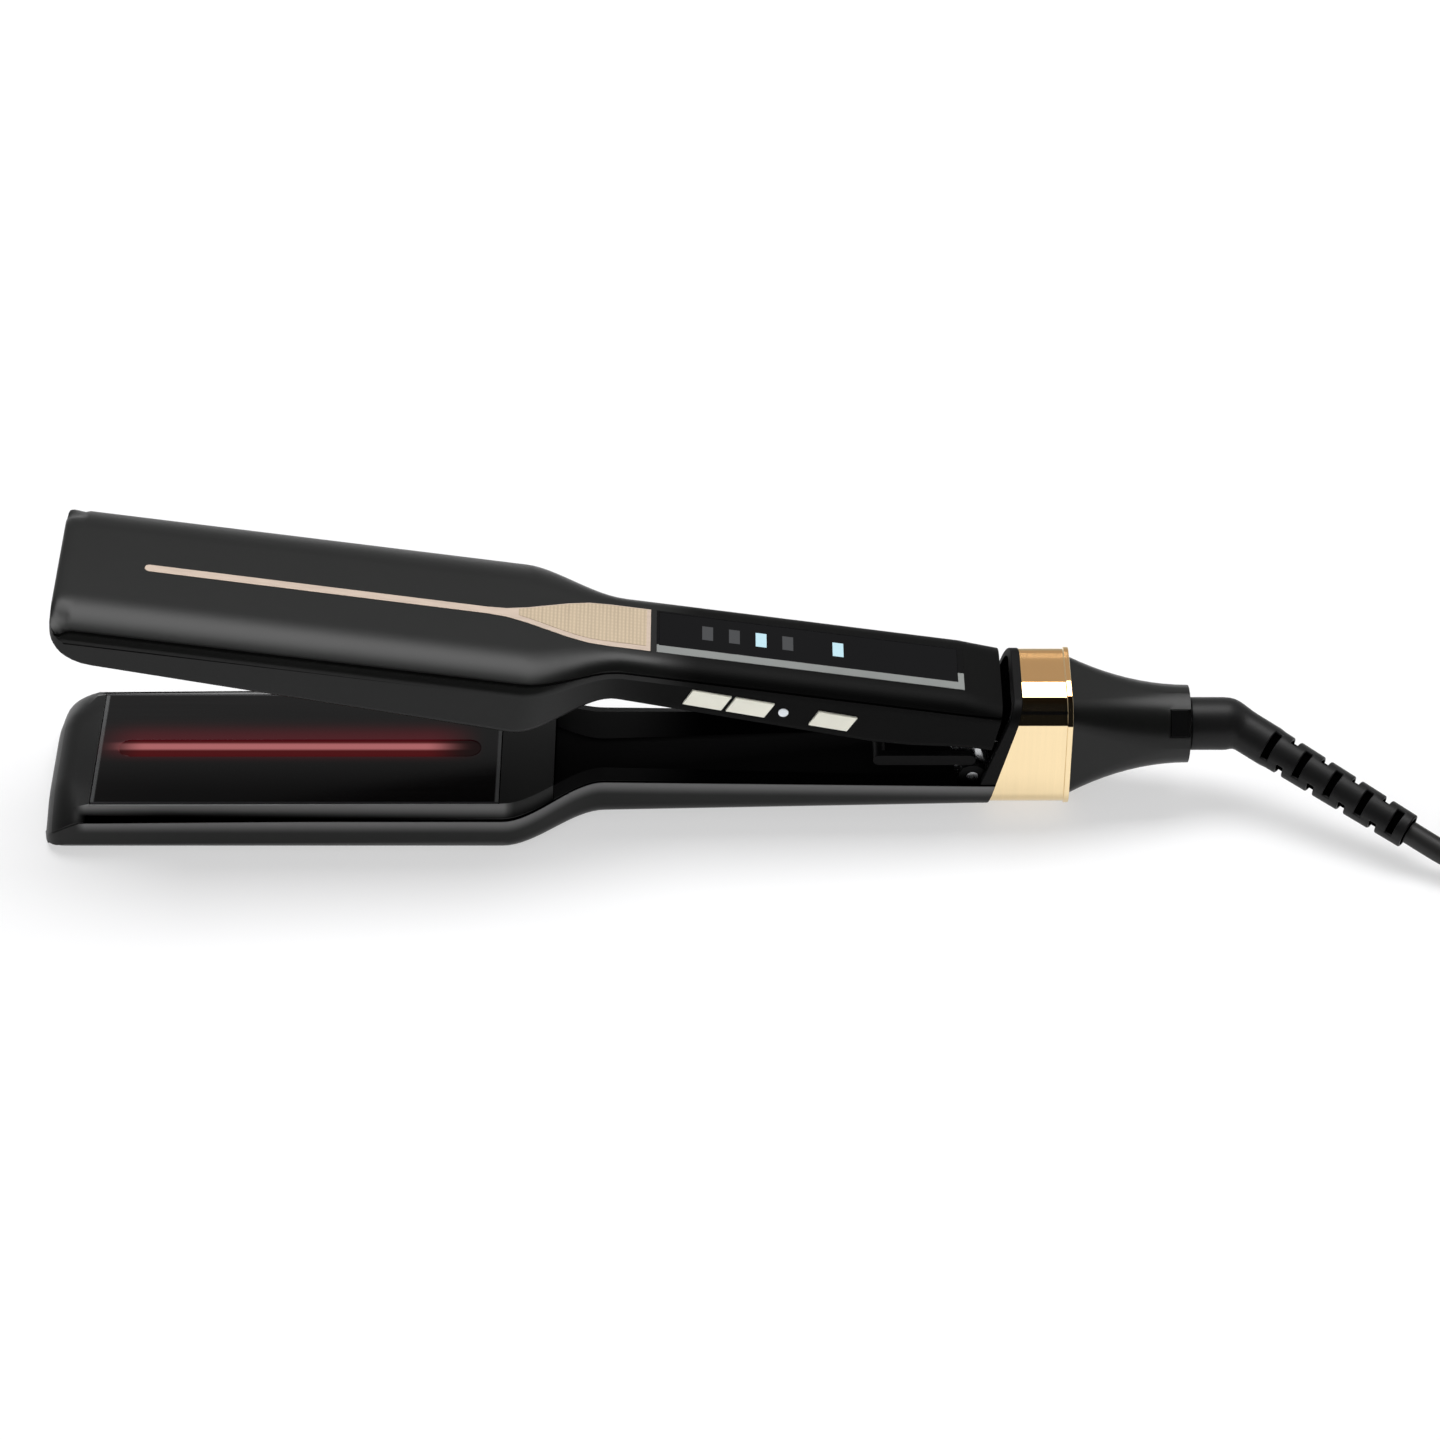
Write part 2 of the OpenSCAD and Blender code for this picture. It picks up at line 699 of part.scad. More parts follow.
module strain_relief() {
    first = 2;
    pitch = (boot_len - first) / boot_ribs;
    groove = 0.7;
    function r(z) = mix(boot_r0, boot_r1, z / boot_len);
    color("#1e1f1f") aimed(elbow, boot_dir) {
        sphere(elbow_r, $fn = 48);
        rotate_extrude($fn = 48)
            polygon(concat(
                [[0, 0], [r(0) - 0.9, 0]],
                [for (i = [0:boot_ribs - 1])
                    let (z0 = first + i * pitch, z1 = first + (i + 1) * pitch)
                        each [[r(z0) - groove, z0 + 0.1], [r(z0), z0 + 0.6],
                              [r(z1), z1 - 0.9], [r(z1) - groove, z1 - 0.4]]],
                [[r(boot_len) - groove, boot_len], [0, boot_len]]));
    }
}

// ---------------------------------------------------------------- upper arm

// Rings of the arm frame: outer channel with bevelled edges, inner channel with a thick plate floor
frame_stations = concat([0], arm_stations(0, arm_s1), [arm_s1]);

function frame_in(s) = s > grip_s ? frame_low(s) + wall
    : mix(upper_floor, handle_z + wall, shoulder(s));

function frame_ring(s) = let (
    w = half_w(s),
    z0 = frame_low(s),
    z1 = cover_z0(s),
    inner = s < plate_s0 - 2.9
        ? dish(w - wall, z1)
        : channel(w - wall, frame_in(s), z1, 1.5, 1.5)
) concat(channel(w, z0, z1, mix(bevel_w, 2.5, shoulder(s)), bevel_h(s)), backwards(inner));

// The rear end of the upper arm, closed, that clears the collar when the arm is opened
function closed_of(s, z) = let (
    x = s - pin_s,
    h = z - pin_z
) [pin_s + x * cos(open_angle) - h * sin(open_angle), pin_z + x * sin(open_angle) + h * cos(open_angle)];

module rear_trim() {
    low = closed_of(seam_face(pin_z - 2) - seam_gap, pin_z - 2);
    high = closed_of(seam_face(ring_z1 + 20) - seam_gap, ring_z1 + 20);
    side_prism([low, [low[0] + paddle_w, low[1]], [high[0] + paddle_w, high[1]], high],
               -handle_w, handle_w);
}

button_s = [grip_s + 25.4, grip_s + 38.2, grip_s + 62.9];
button_z = plate_z + 15.5;
led_s = grip_s + 48.1;
led_d = 3;

// Outline of a side button as [s, z] points round its middle
function button_outline(s, grow) = let (a = button_len / 2 + grow, b = button_h / 2 + grow,
                                        k = button_lean / 2) [
    [s - a - k, button_z - b], [s + a - k, button_z - b],
    [s + a + k, button_z + b], [s - a + k, button_z + b]
];

upper_screw_s = [grip_s + 10, grip_s + 72];

throat_w = handle_w - 2 * wall - 0.4;

module upper_arm_frame() {
    color("#171818") opened() difference() {
        loft([for (s = frame_stations) at(s, frame_ring(s))], true);
        plate_pocket(upper_z - 1, upper_pocket);
        bar(throat_s, arm_s1 + 5, -throat_w / 2, throat_w / 2, upper_z, handle_z + 12);
        for (s = button_s)
            side_prism(button_outline(s, button_gap), -handle_w, -handle_w / 2 + wall + 2);
        cross_pin(led_s, button_z, led_d + 0.1, -handle_w, -handle_w / 2 + wall + 2);
        for (s = upper_screw_s) {
            post(s, 0, 0, handle_z + screw_head_h, screw_head_d + 2 * screw_gap);
            post(s, 0, 0, handle_z + wall + 2, screw_d + 2 * screw_gap);
        }
        rear_trim();
    }
}

// Section of the cover: a flat crown that falls away to a low edge on both sides
function cover_ring(s) = let (
    w = half_w(s),
    flat = mix(dome_flat * half_w(s) * 2 / paddle_w, panel_w / 2 + 0.1, shoulder(s)),
    z0 = cover_z0(s),
    rise = cover_z1(s) - z0 - edge_z,
    power = mix(dome_power, 0.9, shoulder(s)),
    side = [for (i = [0:8]) let (a = i * 90 / 8)
        [flat + (w - flat) * pow(cos(a), power), z0 + edge_z + rise * pow(sin(a), power)]]
) concat([[-w, z0], [w, z0]], side, backwards([for (p = side) [-p[0], p[1]]]));

inlay = 0.6;
proud = 0.15;
block_s1 = grip_s + 7;
panel_s0 = block_s1 + 1.5;
panel_s1 = panel_s0 + panel_len;
flare_s0 = block_s1 - block_len - 33;

// Half width of the gold trim at station s: a stripe that flares to the block
function trim_half(s) =
    mix(stripe_w, panel_w, ease((s - flare_s0) / (block_s1 - block_len - flare_s0))) / 2;

// Plan of the gold trim, drawn from station s0 with x along the crown
function trim_side(s0, s1, inset) = let (n = 24)
    [for (i = [0:n]) let (s = mix(s0, s1, i / n)) [s - s0, trim_half(s) - inset]];
module trim_plan(side) {
    polygon(concat(side, backwards([for (p = side) [p[0], -p[1]]])));
}

// The whole trim, with the stripe's round end
module trim_slab(inset, up, t) {
    r = stripe_w / 2 - inset;
    tip = [for (a = [165:-15:105]) [r * cos(a), r * sin(a)]];
    on_crown(stripe_s, up)
        linear_extrude(t) trim_plan(concat(tip, trim_side(stripe_s, block_s1, inset)));
}

module panel_slab(inset, up, t) {
    on_crown((panel_s0 + panel_s1) / 2, up)
        linear_extrude(t) square([panel_len - 2 * inset, panel_w - 2 * inset], center = true);
}

module upper_top_cover() {
    seat = 0.05;
    color("#1f2020") opened() difference() {
        union() {
            loft([for (s = frame_stations) at(s, cover_ring(s))]);
            for (s = upper_screw_s) post(s, 0, handle_z + wall + 0.05, cover_z0(s) + 1, 5.4);
        }
        trim_slab(-seat, -inlay, inlay + 1);
        panel_slab(-seat, -inlay, inlay + 1);
        for (s = upper_screw_s) post(s, 0, 0, cover_z0(s), screw_d + 2 * screw_gap);
        rear_trim();
    }
}

module trim_stripe() {
    color("#decbb0") opened() trim_slab(0, -inlay, inlay + proud);
}

insert_inset = 0.5;
insert_near = 2;
insert_end = 1.4;
insert_s0 = flare_s0 + 8;

// Engraved field of the gold block, inset most along its near side
module insert_plan() {
    far = trim_side(insert_s0, block_s1 - insert_end, insert_inset);
    near = trim_side(insert_s0, block_s1 - insert_end, insert_near);
    polygon(concat(far, backwards([for (p = near) [p[0], -p[1]]])));
}

module trim_insert() {
    color("#d8b98c") opened()
        on_crown(insert_s0, proud)
            linear_extrude(0.1) insert_plan();
}

bezel_w = 0.7;
bezel_near = 3.2;
bezel_end = 1.8;

// The panel inside its bezel, which is wide along the near side and at the rear
module panel_glass(gap, up, t) {
    x0 = -panel_len / 2 + bezel_w + gap;
    x1 = panel_len / 2 - bezel_end - gap;
    y0 = -panel_w / 2 + bezel_near + gap;
    y1 = panel_w / 2 - bezel_w - gap;
    on_crown((panel_s0 + panel_s1) / 2, up)
        linear_extrude(t) translate([x0, y0]) square([x1 - x0, y1 - y0]);
}

module display_panel() {
    color("#060607") opened() panel_glass(0.03, -inlay, inlay + proud - 0.05);
}

module panel_bezel() {
    color("#75767a") opened() difference() {
        panel_slab(0, -inlay, inlay + proud);
        panel_glass(0, -inlay - 1, inlay + proud + 2);
    }
}

mark_s = [for (i = [0:3]) grip_s + 23.5 + i * 7.9];
mark_lit = 2;
lamp_s = grip_s + 62.1;
mark_y = 1.6;
mark_len = 3.2;
mark_h = 6.2;

module mark(s) {
    on_crown(s, proud - 0.05)
        linear_extrude(0.08)
            translate([0, mark_y]) square([mark_len, mark_h], center = true);
}

module display_marks_dim() {
    color("#5b5d60") opened()
        for (i = [0:len(mark_s) - 1]) if (i != mark_lit) mark(mark_s[i]);
}

module display_marks_lit() {
    color("#c9f1fb") opened() {
        mark(mark_s[mark_lit]);
        mark(lamp_s);
    }
}

button_in = handle_w / 2 - wall - 1.4;

module side_button(s) {
    side_prism(button_outline(s, 0), -handle_w / 2 - button_out, -button_in);
}

module button_front() {
    color("#e8e2c8") opened() side_button(button_s[0]);
}

module button_middle() {
    color("#e8e2c8") opened() side_button(button_s[1]);
}

module button_rear() {
    color("#e8e2c8") opened() side_button(button_s[2]);
}

board_y1 = 3.4 - handle_w / 2 + wall + 2;
board_t = 1.6;
board_end = 9;
switch_gap = 0.1;

module status_led() {
    color("#e9eef0") opened()
        cross_pin(led_s, button_z, led_d, -handle_w / 2 - 0.2, board_y1 - board_t);
}

module control_board() {
    color("#1f5a35") opened()
        bar(button_s[0] - board_end, button_s[2] + board_end, board_y1 - board_t, board_y1,
            handle_z + wall, button_z + 3.5);
}

module tact_switches() {
    y0 = -button_in + button_travel + switch_gap;
    color("#c9ccd0") opened()
        for (s = button_s) {
            bar(s - 2.4, s + 2.4, y0 + 0.6, board_y1 - board_t, button_z - 2.4, button_z + 2.4);
            cross_pin(s, button_z, 2, y0, y0 + 0.7);
        }
}

module upper_screws() {
    color("#55585b") opened()
        for (s = upper_screw_s) screw(s, handle_z + 0.2, cover_z0(s) - handle_z - 0.8);
}

lug_y0 = spring_body / 2 + 0.4;
lug_y1 = shroud_y0 - 0.5;
knuckle_d = 10.4;
bulkhead_s0 = pin_s - 11.6;
bulkhead_s1 = pin_s - 2.6;
bulkhead_z0 = pin_z + 12;
bulkhead_z1 = bulkhead_z0 + 6;

// A bulkhead across the upper arm with two lugs that reach down to the pin
module hinge_knuckle() {
    side = throat_w / 2 - 0.05;
    color("#26282a") opened() difference() {
        union() {
            bar(bulkhead_s0, bulkhead_s1, -side, side, bulkhead_z0, bulkhead_z1);
            for (m = [0, 1]) mirror([0, m, 0]) {
                cross_pin(pin_s, pin_z, knuckle_d, lug_y0, lug_y1);
                side_prism([
                    [pin_s - knuckle_d / 2, pin_z], [pin_s + knuckle_d / 2, pin_z],
                    [bulkhead_s1, bulkhead_z0 + 2], [bulkhead_s0, bulkhead_z0 + 2]
                ], lug_y0, lug_y1);
            }
        }
        cross_pin(pin_s, pin_z, pin_d + 2 * run_gap, -handle_w, handle_w);
    }
}

module upper_heater_plate() {
    color("#0c0c0d") opened()
        bar(plate_s0, plate_s1, -plate_w / 2, plate_w / 2, upper_z, upper_z + plate_t);
}

module upper_heater() {
    color("#c9c2b4") opened()
        bar(plate_s0 + heater_end, plate_s0 + heater_end + heater_len,
            -upper_heater_w / 2, upper_heater_w / 2,
            upper_z + plate_t, upper_z + plate_t + heater_t - 0.1);
}

module upper_float_pads() {
    height = upper_pocket - upper_z - plate_t - float_travel - 0.1;
    color("#b9bcc0") opened() float_pads(upper_pocket - height, height);
}

// ---------------------------------------------------------------- cord, coil and plug

// Tube through points with a ring square to the path at each; the first and last rings can be
// turned square to what they meet
function unit(v) = v / norm(v);
function path_dir(p, i, first, last) = let (n = len(p) - 1)
    i == 0 ? first : i == n ? last : unit(unit(p[i + 1] - p[i]) + unit(p[i] - p[i - 1]));
function tube_ring(c, d, r, sides) = let (
    n = unit(cross(d, [0, 0, 1])),
    b = cross(n, d)
) [for (j = [0:sides - 1]) let (a = (j + 0.5) * 360 / sides) c - r * cos(a) * n + r * sin(a) * b];

module tube(p, r, sides, first, last) {
    m = len(p);
    rings = [for (i = [0:m - 1]) tube_ring(p[i], path_dir(p, i, first, last), r, sides)];
    loft(rings);
}

cord_r = cord_d / 2;
// Pitch of the coil's turns and layers, and how high the first layer lies, over the tie
coil_gap = 0.5;
tie_t = 1;
pitch = cord_d + coil_gap;
coil_z = cord_r + tie_t + 0.1;
coil_layers = 4;
layer_turns = coil_turns / coil_layers;
coil_at = [290, -21.5];
coil_a0 = 236;
coil_rings = 24;
coil_out = coil_r + layer_turns * pitch;

// Radius and height of the winding after t turns: in and out again, a layer up at each reversal
function coil_radius(t) = coil_r + pitch * abs(layer_turns - (t % (2 * layer_turns)));
function coil_height(t) = coil_z + pitch * (
    t < 0.3 ? 0 : t > coil_turns - 0.3 ? coil_layers - 1
        : let (u = t / layer_turns, k = round(u)) k - 1 + ease((u - k) * layer_turns * 2 + 0.5));
function coil_point(t) = let (a = coil_a0 + 360 * t, r = coil_radius(t))
    [coil_at[0] + r * cos(a), coil_at[1] + r * sin(a), coil_height(t)];
coil_path = [for (i = [0:coil_turns * coil_rings]) coil_point(i / coil_rings)];
coil_dir = [-sin(coil_a0), cos(coil_a0), 0];

// Least gap of the winding to itself, measured between points more than half a turn apart
least_gap = min([
    for (i = [0:len(coil_path) - 1], j = [i + coil_rings / 2:1:len(coil_path) - 1])
        norm(coil_path[i] - coil_path[j])
]) - cord_d;

// Length of a path
function path_length(p, i = 1) = i >= len(p) ? 0 : norm(p[i] - p[i - 1]) + path_length(p, i + 1);

// Route of the cord from the boot to the coil, hand-set
boot_gap = 0.35;
lead_first = boot_end + boot_gap * boot_dir;
lead_route = [
    [229.2, -36.1, 9.7], [233.5, -39, 8.6], [238, -41.8, 7.7], [242.4, -44.6, 6.8],
    [246.9, -47.4, 6], [251.4, -50.2, 5.4], [255.9, -53, 5], [260.4, -55.9, 4.7]
];
// Route from the coil's end down to the plug, hand-set
tail_route = [
    [271.1, -64, 26.8], [278.2, -68.7, 25.4], [286.4, -72.6, 22.2], [295.6, -74.8, 17.6],
    [305.3, -74.9, 12.8], [315.3, -73.3, 8.6], [325.3, -70, 5.6], [335.5, -65.4, 4.1],
    [341.9, -61.9, 4], [347.4, -57.8, 4.2], [351.9, -53.1, 4.7], [355.5, -47.9, 5.3],
    [358, -42.3, 5.9], [359.5, -36.3, 6.5]
];
plug_at = [360, -23, 6.85];
plug_dir = [0, 1, 0];
tail_last = plug_at - 7 * plug_dir;

lead_points = concat([lead_first], lead_route, [coil_point(0)]);
tail_points = concat([coil_point(coil_turns)], tail_route, [tail_last, plug_at]);

module cord_lead() {
    color("#1a1a1b") tube(lead_points, cord_r, 10, boot_dir, coil_dir);
}

module cord_coil() {
    echo(least_gap_mm = least_gap, coil_length_mm = path_length(coil_path),
         cord_length_mm = path_length(coil_path) + path_length(lead_points)
             + path_length(tail_points));
    color("#1a1a1b") tube(coil_path, cord_r, 6, coil_dir, coil_dir);
}

module cord_tail() {
    color("#1a1a1b") tube(tail_points, cord_r, 10, coil_dir, plug_dir);
}

tie_angle = 20;
tie_w = 10;

// A strap round the whole bundle at one place
module cord_tie() {
    gap = 0.6;
    r0 = coil_r - cord_r - gap;
    r1 = coil_out + cord_r + gap;
    z1 = coil_z + (coil_layers - 1) * pitch + cord_r + gap;
    color("#111112")
        translate([coil_at[0], coil_at[1], 0])
            rotate(tie_angle)
                translate([0, tie_w / 2, 0])
                    rotate([90, 0, 0])
                        linear_extrude(tie_w)
                            difference() {
                                translate([r0 - tie_t, 0]) square([r1 - r0 + 2 * tie_t, z1 + tie_t]);
                                translate([r0, tie_t]) square([r1 - r0, z1 - tie_t]);
                            }
}

plug_len = 36;
plug_w = 35.3;
plug_h = 13.7;
plug_tail = 14;

// Flat two-pin plug, lying on its side face, with a round tail that the cord enters
module plug_body() {
    mid = plug_h / 2;
    color("#161617") translate([plug_at[0], plug_at[1], 0]) {
        translate([0, plug_tail, 0])
            linear_extrude(plug_h)
                polygon([
                    [-7, 0], [7, 0], [13, 8], [plug_w / 2, plug_len - plug_tail - 6],
                    [plug_w / 2, plug_len - plug_tail], [-plug_w / 2, plug_len - plug_tail],
                    [-plug_w / 2, plug_len - plug_tail - 6], [-13, 8]
                ]);
        translate([0, 0, plug_at[2]])
            rotate([-90, 0, 0]) cylinder(plug_tail + 2, 4.6, 6.2, $fn = 48);
    }
}

module plug_pins() {
    spacing = 18.6;
    color("#c9ccd0") translate([plug_at[0], plug_at[1], plug_h / 2])
        for (x = [-spacing / 2, spacing / 2])
            translate([x, plug_len, 0])
                rotate([-90, 0, 0]) cylinder(plug_pin_len, d = plug_pin_d, $fn = 48);
}

lower_outer_shell();
lower_inner_frame();
lower_handle_liner();
lower_heater_plate();
lower_heaters();
lower_float_pads();
infrared_window();
infrared_emitter();
thermal_fuse();
terminal_block();
lower_screws();
hinge_shroud();
hinge_pin();
hinge_spring();
rear_collar();
gold_ring();
rear_cone();
swivel_clip();
upper_top_cover();
upper_arm_frame();
upper_heater_plate();
upper_heater();
upper_float_pads();
trim_stripe();
trim_insert();
display_panel();
panel_bezel();
display_marks_dim();
display_marks_lit();
button_front();
button_middle();
button_rear();
status_led();
control_board();
tact_switches();
upper_screws();
hinge_knuckle();
swivel_barrel();
strain_relief();
cord_lead();
cord_coil();
cord_tail();
cord_tie();
plug_body();
plug_pins();
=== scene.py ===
"""Wide-plate infrared hair straightening iron, lying open on the back of its lower arm."""

import logging
import math
from collections.abc import Callable, Sequence
from dataclasses import dataclass
from enum import Enum
from functools import partial, reduce

import bpy
from bpy.types import Camera, Light, Material, Node, NodeSocket, NodeTree, Object
from mathutils import Matrix, Vector


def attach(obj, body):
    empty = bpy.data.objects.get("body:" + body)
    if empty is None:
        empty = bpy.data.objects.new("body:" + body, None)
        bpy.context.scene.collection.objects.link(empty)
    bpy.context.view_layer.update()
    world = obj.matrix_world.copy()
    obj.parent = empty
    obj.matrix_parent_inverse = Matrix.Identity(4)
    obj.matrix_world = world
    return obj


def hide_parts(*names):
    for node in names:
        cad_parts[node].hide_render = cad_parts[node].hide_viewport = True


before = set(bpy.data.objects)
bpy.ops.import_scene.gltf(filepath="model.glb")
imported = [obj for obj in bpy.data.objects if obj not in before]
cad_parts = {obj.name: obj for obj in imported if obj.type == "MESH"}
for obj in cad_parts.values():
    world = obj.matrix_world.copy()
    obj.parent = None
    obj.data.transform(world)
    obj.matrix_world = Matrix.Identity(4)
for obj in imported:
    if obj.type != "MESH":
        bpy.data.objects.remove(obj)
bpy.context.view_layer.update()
MM = 0.001
LOG = logging.getLogger("iron")

Test = Callable[[Vector, Vector], bool]
Triple = tuple[float, float, float]
Span = tuple[float, float]


class Body(Enum):
    """The rigid bodies that pieces ride on."""

    LOWER_ARM = "lower_arm"
    LOWER_PLATE = "lower_plate"
    UPPER_ARM = "upper_arm"
    UPPER_PLATE = "upper_plate"
    FRONT_BUTTON = "front_button"
    MIDDLE_BUTTON = "middle_button"
    REAR_BUTTON = "rear_button"
    CORD_SWIVEL = "cord_swivel"


# ---------------------------------------------------------------- places on the iron, in mm

HALF_LENGTH = 176.0
PIN_S, PIN_Z = 273.6, 16.0
OPEN_ANGLE = math.radians(12.2)
CROWN_START, CROWN_HEIGHT, CROWN_SLOPE = 14.0, 30.4, 0.0545
BOOT_START: Triple = (175.1, 0.0, 24.55)
BOOT_END: Triple = (224.6, -33.0, 11.0)
BOOT_RADII: Span = (6.25, 5.3)
BOOT_SMOOTH = 12.0


def at(s: float, y: float, z: float) -> Vector:
    """Turns a distance from the tip, a side offset and a height in mm into metres."""
    return Vector((s - HALF_LENGTH, y, z)) * MM


# The turn about the hinge pin that opens the upper arm.
PIN = at(PIN_S, 0, PIN_Z)
OPENED = (
    Matrix.Translation(PIN) @ Matrix.Rotation(OPEN_ANGLE, 4, "Y") @ Matrix.Translation(-PIN)
)


def on_crown(s: float, down: float) -> Vector:
    """A place below the open cover's crown, at a distance from the tip, in metres."""
    return OPENED @ at(s, 0, CROWN_HEIGHT + (s - CROWN_START) * CROWN_SLOPE - down)


# ---------------------------------------------------------------- working by hand


def deselect() -> None:
    """Leaves nothing selected, so that the next operator acts on the new piece alone."""
    if bpy.context.object and bpy.context.object.mode != "OBJECT":
        bpy.ops.object.mode_set(mode="OBJECT")
    bpy.ops.object.select_all(action="DESELECT")


def take(piece: Object) -> Object:
    """Selects one piece alone and makes it active.

    Args:
        piece: The object to work on.

    Returns:
        The same object.
    """
    deselect()
    piece.hide_set(False)
    piece.select_set(True)
    bpy.context.view_layer.objects.active = piece
    return piece


def edit(piece: Object, pick: Test | None = None, mode: str = "FACE") -> int:
    """Opens a piece in edit mode with some of its faces, edges or vertices selected.

    Args:
        piece: The object to work on.
        pick: Says by centre and normal what to select; all of it where this is None.
        mode: FACE, EDGE or VERT.

    Returns:
        How many elements are selected.
    """
    take(piece)
    bpy.ops.object.mode_set(mode="EDIT")
    bpy.ops.mesh.select_mode(type=mode)
    bpy.ops.mesh.select_all(action="SELECT" if pick is None else "DESELECT")
    if pick is None:
        return len(piece.data.polygons)
    bpy.ops.object.mode_set(mode="OBJECT")
    if mode == "FACE":
        chosen = [(face, face.center) for face in piece.data.polygons]
    else:
        chosen = [(vertex, vertex.co) for vertex in piece.data.vertices]
    for element, place in chosen:
        element.select = pick(place, element.normal)
    count = sum(element.select for element, _ in chosen)
    bpy.ops.object.mode_set(mode="EDIT")
    return count


def leave() -> None:
    """Goes back from edit mode to object mode."""
    bpy.ops.object.mode_set(mode="OBJECT")


def cut(piece: Object, place: Sequence[float], normal: Sequence[float]) -> None:
    """Cuts new edges into a whole piece along a plane.

    Args:
        piece: The object to cut.
        place: A point of the plane, in metres.
        normal: The plane's normal.
    """
    edit(piece)
    bpy.ops.mesh.bisect(plane_co=place, plane_no=normal)
    leave()


def sink_points(piece: Object, pick: Test, drop: float, reach: float) -> None:
    """Lowers some points of a piece and, less and less, those round them; stays in edit mode.

    Args:
        piece: The object to change.
        pick: Says by place and normal which points go all the way down.
        drop: How far those go down, in mm.
        reach: How far from them the change dies out, in mm.
    """
    edit(piece, pick, "VERT")
    bpy.ops.transform.translate(
        value=(0, 0, -drop * MM), use_proportional_edit=True,
        proportional_edit_falloff="SMOOTH", proportional_size=reach * MM,
    )


def sink_faces(piece: Object, pick: Test, depth: float) -> None:
    """Extrudes some faces of a piece inward.

    Args:
        piece: The object to change.
        pick: Says by centre and normal which faces go in.
        depth: How deep they go, in mm.
    """
    if edit(piece, pick):
        bpy.ops.mesh.extrude_region_shrink_fatten(
            TRANSFORM_OT_shrink_fatten={"value": -depth * MM}
        )
    leave()


def settle(piece: Object, place: Matrix | None = None) -> Object:
    """Puts a finished piece's place into its mesh and its object at the origin.

    Args:
        piece: The finished object.
        place: Where it goes, from the origin where it was made.

    Returns:
        The same object.
    """
    bpy.context.view_layer.update()
    piece.data.transform((place or Matrix.Identity(4)) @ piece.matrix_world)
    piece.matrix_world = Matrix.Identity(4)
    return piece


def apply_modifier(piece: Object, kind: str, **values: object) -> Object:
    """Adds one modifier with its settings and applies it.

    Args:
        piece: The object to change.
        kind: The modifier's type.
        values: Its settings by name.

    Returns:
        The same object.
    """
    take(piece)
    modifier = piece.modifiers.new(kind.lower(), kind)
    for name, value in values.items():
        setattr(modifier, name, value)
    bpy.ops.object.modifier_apply(modifier=modifier.name)
    return piece


LEAST_SMOOTH_ANGLE = 32.0


def round_edges(piece: Object, width: float, segments: int, angle: float) -> Object:
    """Rounds a piece's sharp edges and shades it smooth between them.

    Args:
        piece: The object to finish.
        width: The width of the rounding, in mm.
        segments: How many faces the rounding has.
        angle: Edges sharper than this many degrees are rounded.

    Returns:
        The same object.
    """
    apply_modifier(
        piece, "BEVEL", width=width * MM, segments=segments, limit_method="ANGLE",
        angle_limit=math.radians(angle), harden_normals=False,
    )
    take(piece)
    bpy.ops.object.shade_smooth_by_angle(angle=math.radians(max(angle, LEAST_SMOOTH_ANGLE)))
    return apply_modifier(piece, "WEIGHTED_NORMAL", keep_sharp=True)


MERGE_DISTANCE = 1e-6
FLAT_ANGLE = math.radians(0.1)


def copy_of(node: str, name: str = "") -> Object:
    """A separate copy of a node's mesh, with its loose triangles joined up.

    Args:
        node: The node to copy.
        name: The new piece's name; the node's with _finish where this is empty.

    Returns:
        The new object.
    """
    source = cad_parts[node]
    piece = bpy.data.objects.new(name or node + "_finish", source.data.copy())
    bpy.context.scene.collection.objects.link(piece)
    piece.data.materials.clear()
    edit(piece)
    bpy.ops.mesh.remove_doubles(threshold=MERGE_DISTANCE)
    bpy.ops.mesh.customdata_custom_splitnormals_clear()
    bpy.ops.mesh.mark_sharp(clear=True)
    bpy.ops.mesh.dissolve_limited(angle_limit=FLAT_ANGLE, use_dissolve_boundaries=False)
    leave()
    return piece


def groove(piece: Object, start: Vector, end: Vector, width: float, depth: float) -> None:
    """Cuts a narrow groove along the sides of a piece.

    Args:
        piece: The object to cut.
        start: A point of the groove's middle line.
        end: Another point of it.
        width: The groove's width, in mm.
        depth: The groove's depth, in mm.
    """
    along = (end - start).normalized()
    across = along.cross(Vector((0, 1, 0))).normalized()
    across *= -1 if across.z < 0 else 1
    half = width * MM * 0.5
    for side in (-half, half):
        cut(piece, start + across * side, across)
    sink_faces(piece, lambda centre, normal: abs((centre - start).dot(across)) < half, depth)


def finish_piece(
    piece: Object, body: Body, material: Material, nodes: Sequence[str]
) -> Object:
    """Dresses a new piece and fixes it to its body.

    Args:
        piece: The finished object.
        body: The body it moves with.
        material: What it is made of.
        nodes: The nodes that it stands for.

    Returns:
        The same object.
    """
    piece.data.materials.clear()
    piece.data.materials.append(material)
    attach(piece, body.value)
    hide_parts(*nodes)
    LOG.info("%s rides %s", piece.name, body.value)
    return piece


# ---------------------------------------------------------------- shader wiring

BLACK = (0.0, 0.0, 0.0, 1.0)


def scaled(colour: Sequence[float], by: float = 1.0) -> tuple[float, float, float, float]:
    """A colour made lighter or darker, with full alpha."""
    return (colour[0] * by, colour[1] * by, colour[2] * by, 1.0)


def grey(tone: float) -> tuple[float, float, float, float]:
    """A neutral colour, with full alpha."""
    return (tone, tone, tone, 1.0)


